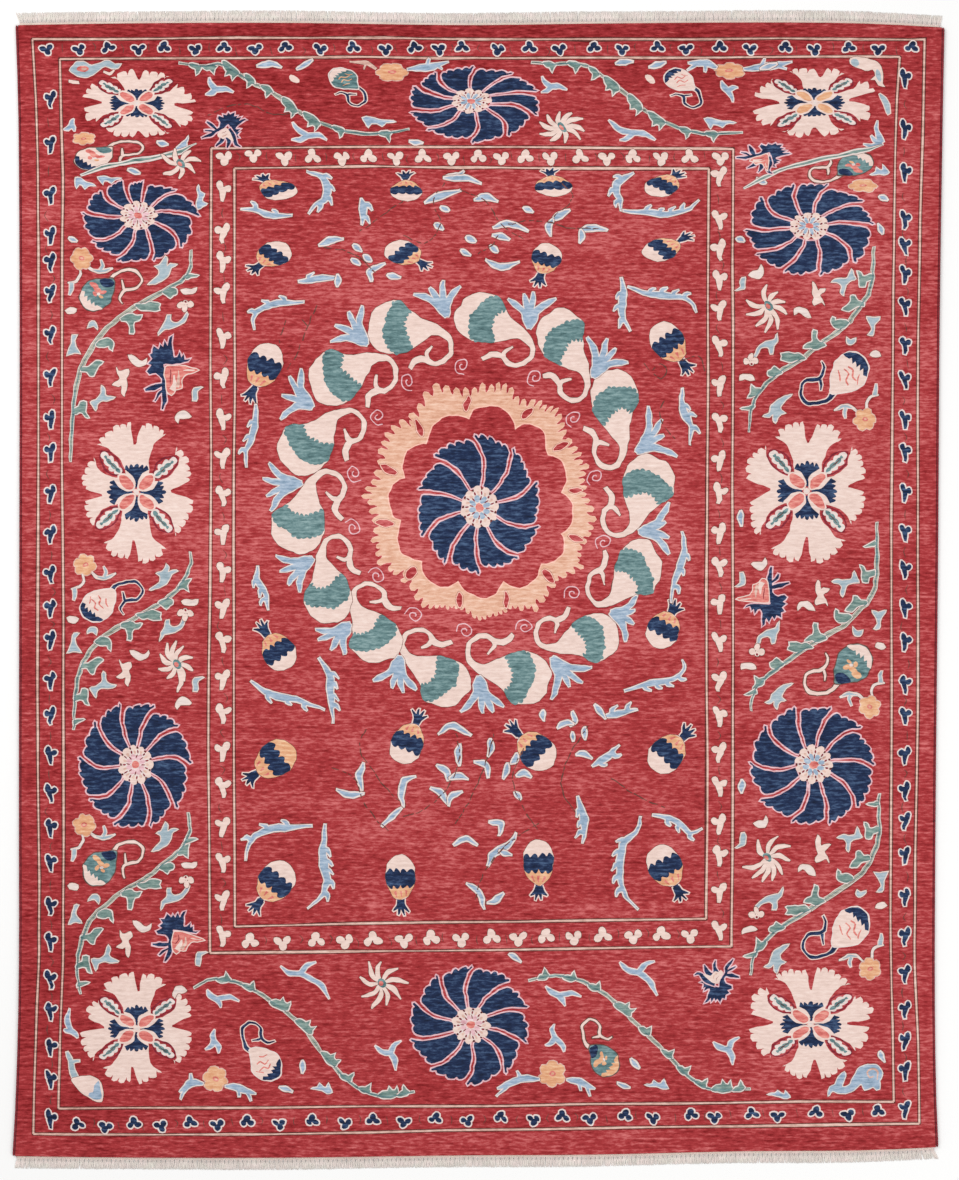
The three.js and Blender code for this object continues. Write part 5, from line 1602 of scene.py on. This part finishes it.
def make_wool_group():
    """Dyed wool: streaks of a few rows, blotches, the drift of dye lots with painted light and dark patches
    of pile sheen, and the knots' tufts.
    """
    tree = bpy.data.node_groups.new("dyed_wool", "ShaderNodeTree")
    for name in ("Deep", "Mid", "Pale"):
        tree.interface.new_socket(name=name, in_out="INPUT", socket_type="NodeSocketColor")
    for name in ("Streaks", "Drift_and_sheen", "Tufts"):
        tree.interface.new_socket(name=name, in_out="INPUT", socket_type="NodeSocketFloat")
    tree.interface.new_socket(name="Color", in_out="OUTPUT", socket_type="NodeSocketColor")
    for name in ("Roughness", "Height"):
        tree.interface.new_socket(name=name, in_out="OUTPUT", socket_type="NodeSocketFloat")
    given = node_with(tree, "NodeGroupInput")
    result = node_with(tree, "NodeGroupOutput")
    place = node_with(tree, "ShaderNodeTexCoord").outputs["Object"]
    short_rows = streak_noise(tree, place, 0.024, 0.0062, 2.5, 3.0)
    long_rows = streak_noise(tree, place, 0.110, 0.0080, 3.0)
    bands = streak_noise(tree, place, 0.55, 0.060, 3.0, 7.0)
    blotches = streak_noise(tree, place, 0.15, 0.09, 3.0, 11.0)
    knots = streak_noise(tree, place, 0.0034, 0.0027, 1.0, 5.0)
    rows = math_node(tree, "ADD", times(tree, short_rows, 2.9), times(tree, long_rows, 1.7))
    rows = math_node(tree, "ADD", rows, times(tree, knots, 0.6))
    slow_tone_and_sheen = math_node(tree, "ADD", times(tree, bands, 1.2), blotches)
    # dye-lot drift together with painted light and dark patches of pile sheen, read from the pile's attribute
    lots_and_sheen = node_with(tree, "ShaderNodeAttribute", attribute_name="abrash")
    slow_tone_and_sheen = math_node(tree, "ADD", slow_tone_and_sheen, lots_and_sheen.outputs["Fac"])
    tone = math_node(tree, "ADD", times(tree, rows, given.outputs["Streaks"]),
                     times(tree, slow_tone_and_sheen, given.outputs["Drift_and_sheen"]))
    dye = given.outputs["Mid"]
    for other, way in (("Deep", -1.0), ("Pale", 1.0)):
        mix = node_with(tree, "ShaderNodeMix", data_type="RGBA")
        tree.links.new(math_node(tree, "MULTIPLY", tone, way, clamp=True), mix.inputs["Factor"])
        tree.links.new(dye, mix.inputs[6])
        tree.links.new(given.outputs[other], mix.inputs[7])
        dye = mix.outputs[2]
    tree.links.new(dye, result.inputs["Color"])
    rough = math_node(tree, "ADD", times(tree, rows, 0.08), 0.88, clamp=True)
    tree.links.new(rough, result.inputs["Roughness"])
    tufts = math_node(tree, "ADD", times(tree, knots, given.outputs["Tufts"]), times(tree, short_rows, 0.8))
    tree.links.new(tufts, result.inputs["Height"])
    return tree


wool_group = make_wool_group()


def yarn_shader(name, values):
    """A new material, its node tree and its shader."""
    made = bpy.data.materials.new(name)
    made.use_nodes = True
    shader = made.node_tree.nodes["Principled BSDF"]
    set_inputs(shader, values)
    return made, made.node_tree, shader


def raise_surface(tree, shader, height, strength, distance):
    """Lets a height stand out on the surface."""
    raised = node_with(tree, "ShaderNodeBump")
    set_inputs(raised, {"Strength": strength, "Distance": distance})
    tree.links.new(height, raised.inputs["Height"])
    tree.links.new(raised.outputs["Normal"], shader.inputs["Normal"])


def wool(name, card, sheen=0.12, tufts=1.0, bump=0.5):
    """A wool material in one dye."""
    deep, mid, pale, streaks, drift_and_sheen = card
    made, tree, shader = yarn_shader(
        name, {"Specular IOR Level": 0.2, "Sheen Weight": sheen, "Sheen Roughness": 0.5}
    )
    body = node_with(tree, "ShaderNodeGroup", node_tree=wool_group)
    set_inputs(body, {"Deep": linear(*deep), "Mid": linear(*mid), "Pale": linear(*pale)})
    set_inputs(body, {"Streaks": streaks, "Drift_and_sheen": drift_and_sheen, "Tufts": tufts})
    tree.links.new(body.outputs["Color"], shader.inputs["Base Color"])
    tree.links.new(body.outputs["Roughness"], shader.inputs["Roughness"])
    raise_surface(tree, shader, body.outputs["Height"], bump, 0.0012)
    return made


for dye in DYES:
    pile.data.materials.append(wool("wool_" + dye, DYE_CARDS[dye]))
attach(pile, "root")
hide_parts("rug_body")

# ---------------------------------------------------------------------------------------------
# The knotted back: the same knots seen from below, each a tight loop round two cotton warps,
# with the weft packed between the rows. It shows the pattern in reverse and lies on the floor.
# ---------------------------------------------------------------------------------------------
BACK_TOP_Z = 0.0029
back_levels = [(-0.06, 0.0012), (-0.05, BACK_TOP_Z)]
back = closed_skin("knotted_back", np.full(len(flat), 0.0003), back_levels, False)
for dye in DYES:
    back.data.materials.append(wool("back_" + dye, DYE_CARDS[dye], sheen=0.0, tufts=1.6, bump=0.9))
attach(back, "root")

# ---------------------------------------------------------------------------------------------
# The side cords: each long edge has its outer warps bound into a cord and overcast with dark
# maroon wool, turn beside turn, from one end of the pile to the other.
# ---------------------------------------------------------------------------------------------
CORD_WIDE = 0.0070
CORD_HIGH = 0.0088
WRAP_PITCH = 0.0046
RINGS_A_WRAP = 5
ROUND = 10
CORD_FOLDS = 8
SOFT_CORNERS = 0.8


def side_cord(name, node):
    """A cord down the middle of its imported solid, ridged by slanting wraps of yarn."""
    low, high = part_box(node)
    found = np.array([v.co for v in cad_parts[node].data.vertices])
    stations = np.unique(np.round(found[:, 1], 2))
    level = [found[np.abs(found[:, 1] - y) < 0.006][:, 0] for y in stations]
    middle = np.array([(x.min() + x.max()) / 2 for x in level])
    count = int((high.y - low.y) / WRAP_PITCH * RINGS_A_WRAP)
    y = np.linspace(low.y + 0.0003, high.y - 0.0003, count)
    x = np.interp(y, stations, middle)
    a = np.linspace(0, 2 * math.pi, ROUND, endpoint=False)
    turns = y[:, None] / WRAP_PITCH + a[None, :] / math.pi * 0.35
    loose = 0.22 * np.sin(y * 61)[:, None] + 0.18 * np.sin(y * 173 + 2)[:, None]
    ridge = np.abs(np.sin(math.pi * (turns + loose))) ** 0.6
    ends = np.clip((1 - np.abs(np.linspace(-1, 1, count))) * 260, 0.0, 1) ** 0.5
    size = (0.86 + 0.14 * ridge) * (0.35 + 0.65 * ends)[:, None]
    across, up = (np.sign(w) * np.abs(w) ** SOFT_CORNERS for w in (np.cos(a), np.sin(a)))
    cx = x[:, None] + CORD_WIDE / 2 * size * across
    cz = CORD_HIGH / 2 + 0.0001 + CORD_HIGH / 2 * size * up
    cy = np.repeat(y[:, None], ROUND, 1)
    coords = np.stack([cx, cy, cz], 2).reshape(-1, 3)
    i, j = np.meshgrid(np.arange(count - 1) * ROUND, np.arange(ROUND), indexing="ij")
    k = (j + 1) % ROUND
    quads = np.stack([i + j, i + ROUND + j, i + ROUND + k, i + k], 2).reshape(-1, 4)
    caps = [tuple(range(ROUND)), tuple((count - 1) * ROUND + n for n in range(ROUND))[::-1]]
    # The bake's map folds the long cord into columns, side by side.
    fold = np.minimum((quads[:, 0] // ROUND) * CORD_FOLDS // count, CORD_FOLDS - 1)
    share = coords[quads][:, :, 1]
    share = (share - low.y) / (high.y - low.y) * CORD_FOLDS - fold[:, None]
    round_share = np.stack([j, j, j + 1, j + 1], 2).reshape(-1, 4) / ROUND
    u = (fold[:, None] + 0.04 + 0.92 * round_share) / CORD_FOLDS
    v = 0.02 + 0.96 * np.clip(share, 0, 1)
    uv = np.vstack([np.stack([u, v], 2).reshape(-1, 2), np.full((2 * ROUND, 2), 0.004)])
    cord = mesh_piece(name, coords, [tuple(q) for q in quads.tolist()] + caps, uv)
    cord.data.materials.append(cord_wool)
    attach(cord, "root")
    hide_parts(node)
    return cord


cord_wool = wool("side_cord_wool", ((80, 16, 24), (126, 38, 46), (158, 68, 74), 0.9, 0.4), tufts=0.7)
edge_trim = [
    side_cord("overcast_cord_left", "side_cord_left"),
    side_cord("overcast_cord_right", "side_cord_right"),
]

# ---------------------------------------------------------------------------------------------
# The ends: past the last knots the cotton warps run on through a narrow plain-woven skirt, are
# drawn together in small knots that lock it, and hang out as a short fringe cut to one length.
# ---------------------------------------------------------------------------------------------
SKIRT_OUT = 0.0065
SKIRT_UNDER = 0.0008
SKIRT_TOP = 0.0031
SKIRT_RIDGES = 11
YARN_PITCH = 0.0020
YARNS_A_KNOT = 6
YARN_HALF = 0.00105
KNOT_OUT = 0.0098
FRINGE_FOLDS = 8
fringe_maker = random.Random(7)


def end_line(side):
    """The pile's end in metres, from left to right; side is -1 for the first-knotted end."""
    ring = to_metres(rim_line)
    end = ring[side * ring[:, 1] > 1.45]
    end = end[np.argsort(end[:, 0])]
    return end[:, 0], end[:, 1]


def make_cotton(name, clean, warm, greyed_and_shaded, yarns):
    """Undyed cotton that has greyed a little: yarn by yarn, or row by row on the skirt; a shade attribute on
    the yarns paints shadow as greyer, darker cotton.
    """
    made, tree, shader = yarn_shader(
        name, {"Roughness": 0.9, "Specular IOR Level": 0.2, "Sheen Weight": 0.15}
    )
    place = node_with(tree, "ShaderNodeTexCoord").outputs["Object"]
    along = streak_noise(tree, place, 0.0011 if yarns else 0.05, 0.02 if yarns else 0.0011, 2.0)
    patch = streak_noise(tree, place, 0.05, 0.03, 2.0, 4.0)
    hue = streak_noise(tree, place, 0.034, 0.02, 1.0, 9.0)
    # painted shadow: the shade attribute darkens the yarns under and beside the knots
    shade = node_with(tree, "ShaderNodeAttribute", attribute_name="shade")
    tone = math_node(tree, "ADD", times(tree, along, 0.7), times(tree, patch, 0.8))
    tone = math_node(tree, "ADD", tone, 0.6)
    tone = math_node(tree, "SUBTRACT", tone, shade.outputs["Fac"], clamp=True)
    light = node_with(tree, "ShaderNodeMix", data_type="RGBA")
    set_inputs(light, {6: linear(*clean), 7: linear(*warm)})
    tree.links.new(math_node(tree, "ADD", times(tree, hue, 3.0), 0.5, clamp=True), light.inputs["Factor"])
    body = node_with(tree, "ShaderNodeMix", data_type="RGBA")
    body.inputs[6].default_value = linear(*greyed_and_shaded)
    tree.links.new(tone, body.inputs["Factor"])
    tree.links.new(light.outputs[2], body.inputs[7])
    tree.links.new(body.outputs[2], shader.inputs["Base Color"])
    raise_surface(tree, shader, along, 0.5, 0.0006)
    return made


fringe_cotton = make_cotton("fringe_cotton", (252, 238, 233), (240, 236, 226), (206, 194, 188), True)
skirt_cotton = make_cotton("skirt_cotton", (250, 232, 222), (240, 232, 216), (208, 186, 174), False)


def end_piece(name, coords, faces, shades, uv, material, node=None):
    """One cotton piece of an end, on the rug's body; its map and shades are given by vertex."""
    corner = [v for face in faces for v in face]
    thing = mesh_piece(name, coords, faces, np.asarray(uv)[corner], shade=shades)
    thing.data.materials.append(material)
    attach(thing, "root")
    if node:
        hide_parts(node)
    edge_trim.append(thing)


def folded_uv(x, out, home):
    """A place on the end's map, folded into rows; home is the x that picks the row."""
    share, row_share = ((value + MAP_WIDE / 200) / (MAP_WIDE / 100) * FRINGE_FOLDS for value in (x, home))
    row = np.clip(np.floor(row_share), 0, FRINGE_FOLDS - 1)
    u = 0.03 + 0.94 * np.clip(share - row, -0.02, 1.02)
    v = (row + 0.06 + 0.88 * np.clip(out / 0.05, 0, 1)) / FRINGE_FOLDS
    return np.stack([u, v], 1)


def skirt(name, side):
    """The woven strip: five rows of packed weft over the warps, closed underneath."""
    end_x, end_y = end_line(side)
    x = np.arange(end_x[0] + 0.004, end_x[-1] - 0.004, 0.004)
    y = np.interp(x, end_x, end_y)
    rows = np.linspace(-SKIRT_UNDER, SKIRT_OUT, SKIRT_RIDGES)
    top = SKIRT_TOP - 0.0005 * (np.arange(SKIRT_RIDGES) % 2)
    top[-1] = 0.0018
    out = np.concatenate([rows, [SKIRT_OUT, -SKIRT_UNDER]])
    z = np.concatenate([top, [0.0004, 0.0004]])
    count = len(out)
    slack = 0.0004 * np.sin(x * 97) + 0.0003 * np.sin(x * 41)
    cx = np.repeat(x[:, None], count, 1)
    cy = y[:, None] + side * (out[None, :] + slack[:, None] * (out[None, :] > 0.004))
    over_under = 0.0002 * np.sin(x[:, None] * 780 + np.arange(count) * math.pi) * (z > 0.002)
    cz = np.repeat(z[None, :], len(x), 0) + over_under
    coords = np.stack([cx, cy, cz], 2).reshape(-1, 3)
    faces = []
    for i in range(len(x) - 1):
        for j in range(count):
            k = (j + 1) % count
            quad = (i * count + j, i * count + k, (i + 1) * count + k, (i + 1) * count + j)
            faces.append(quad[::-1] if side > 0 else quad)
    caps = [tuple(range(count)), tuple((len(x) - 1) * count + n for n in range(count))]
    faces += [caps[0], caps[1][::-1]] if side > 0 else [caps[0][::-1], caps[1]]
    uv = folded_uv(coords[:, 0], np.tile(out, len(x)), coords[:, 0])
    end_piece(name, coords, faces, np.zeros(len(coords)), uv, skirt_cotton)


def fringe(name, node, side, corner_lean, tips_at):
    """Warp yarns in sixes, each six drawn in at its knot and let out again, with frayed ends. The
    corners' yarns lean over: each row gives the x of a corner, the lean there and its reach."""
    end_x, end_y = end_line(side)
    least, most = end_x[0] + 0.003, end_x[-1] - 0.003
    groups = int((most - least) / (YARN_PITCH * YARNS_A_KNOT))
    pitch = (most - least) / groups
    # Along a yarn: how far out, how much it is drawn in, its thickness, its height and its painted shade:
    # painted shadow round the knots, and a little grey at the tip.
    outs = np.array([0.0052, 0.0078, 0.0098, 0.0120, 0.0165, 0.0225, 0.0285, 1.0])
    pull = np.array([0.0, 0.16, 0.3, 0.18, 0.04, 0.0, -0.02, -0.03])
    girth = np.array([1.0, 1.0, 0.95, 1.0, 1.05, 1.0, 0.9, 0.35])
    rise = np.array([0.0021, 0.0024, 0.0027, 0.0023, 0.0019, 0.0017, 0.0015, 0.0013])
    knot_shadow_and_grey_tip = np.array([0.05, 0.22, 0.5, 0.26, 0, 0, 0.02, 0.14])
    ring = np.array([(math.cos(t), math.sin(t)) for t in np.arange(5) * 2 * math.pi / 5 + 0.3])
    coords, faces, shades, uv = [], [], [], []
    total = 0

    def tube(path_x, path_out, path_z, thick, dark, base):
        """Adds one closed yarn; path_out is measured from the pile's end."""
        nonlocal total
        steps = len(path_x)
        y = np.interp(path_x, end_x, end_y) + side * path_out
        way = np.stack([np.gradient(path_x), np.gradient(y)], 1)
        way /= np.linalg.norm(way, axis=1)[:, None]
        across = np.stack([-way[:, 1], way[:, 0]], 1) * -side
        px = path_x[:, None] + across[:, :1] * ring[None, :, 0] * thick[:, None]
        py = y[:, None] + across[:, 1:] * ring[None, :, 0] * thick[:, None]
        pz = path_z[:, None] + ring[None, :, 1] * thick[:, None] * 0.8
        coords.append(np.stack([px, py, np.maximum(pz, 0.0002)], 2).reshape(-1, 3))
        shades.append(np.repeat(dark, 5))
        uv.append(folded_uv(px.ravel(), np.repeat(path_out, 5), np.full(steps * 5, base)))
        for i in range(steps - 1):
            for j in range(5):
                k = (j + 1) % 5
                quad = (total + i * 5 + j, total + i * 5 + 5 + j, total + i * 5 + 5 + k, total + i * 5 + k)
                faces.append(quad if side > 0 else quad[::-1])
        first = tuple(total + n for n in range(5))
        last = tuple(total + steps * 5 - 5 + n for n in range(5))
        faces.extend([first, last[::-1]] if side > 0 else [first[::-1], last])
        total += steps * 5

    for g in range(groups):
        home = least + (g + 0.5) * pitch
        lean = fringe_maker.gauss(0, 0.035)
        for limit, angle, reach in corner_lean:
            near = 1 - abs(home - limit) / reach
            if near > 0:
                lean += math.tan(math.radians(angle)) * near
        length = tips_at + fringe_maker.uniform(-0.0005, 0.0005) + 0.0007 * math.sin(home * 9)
        knot_out = KNOT_OUT + fringe_maker.uniform(-0.0009, 0.0009)
        tight = fringe_maker.uniform(0.6, 1.5)
        for n in range(YARNS_A_KNOT):
            across = (n - (YARNS_A_KNOT - 1) / 2) * pitch / YARNS_A_KNOT
            tip = length + fringe_maker.uniform(-0.0010, 0.0006)
            out = outs.copy()
            out[-1] = tip
            out[-2] = min(0.0285, tip - 0.003)
            out[1:4] += knot_out - KNOT_OUT
            spill = fringe_maker.gauss(0, 0.0006)
            run = np.clip((out - 0.009) / 0.02, 0, None)
            x = home + across * (1 - pull * tight) + lean * np.clip(out - 0.008, 0, None)
            x = x + spill * run + 0.0003 * np.sin(out * 700 + n * 2 + g)
            z = rise + 0.0004 * ((n + g) % 2) - 0.0003 * run * fringe_maker.random()
            thick = YARN_HALF * girth * fringe_maker.uniform(0.9, 1.12)
            # each yarn's shade: a random tone of its own plus the painted shadow round the knots and the grey
            # at the tip
            dark = 0.12 * fringe_maker.uniform(-1, 1) + knot_shadow_and_grey_tip
            tube(x, out, z, thick, dark, home)
        # the knot: a short turn of yarn across its six, painted darker for the shadow it casts
        if fringe_maker.random() < 0.8:
            half = pitch * (0.5 - 0.16 * tight)
            kx = np.linspace(-half, half, 4)
            bow = np.array([-0.0004, 0.0004, 0.0004, -0.0003])
            tube(home + kx, knot_out + bow, np.array([0.0026, 0.0036, 0.0036, 0.0026]),
                 np.array([0.0005, 0.0010, 0.0010, 0.0005]), np.full(4, fringe_maker.uniform(0.1, 0.5)), home)
    end_piece(name, np.vstack(coords), faces, np.concatenate(shades), np.vstack(uv), fringe_cotton, node)


skirt("skirt_first_end", -1)
skirt("skirt_last_end", 1)
fringe("fringe_yarns_first_end", "fringe_first_end", -1, [(-1.226, -14, 0.05), (1.23, 32, 0.08)], 0.0330)
fringe("fringe_yarns_last_end", "fringe_last_end", 1, [(-1.23, -30, 0.08), (1.234, 12, 0.05)], 0.0338)
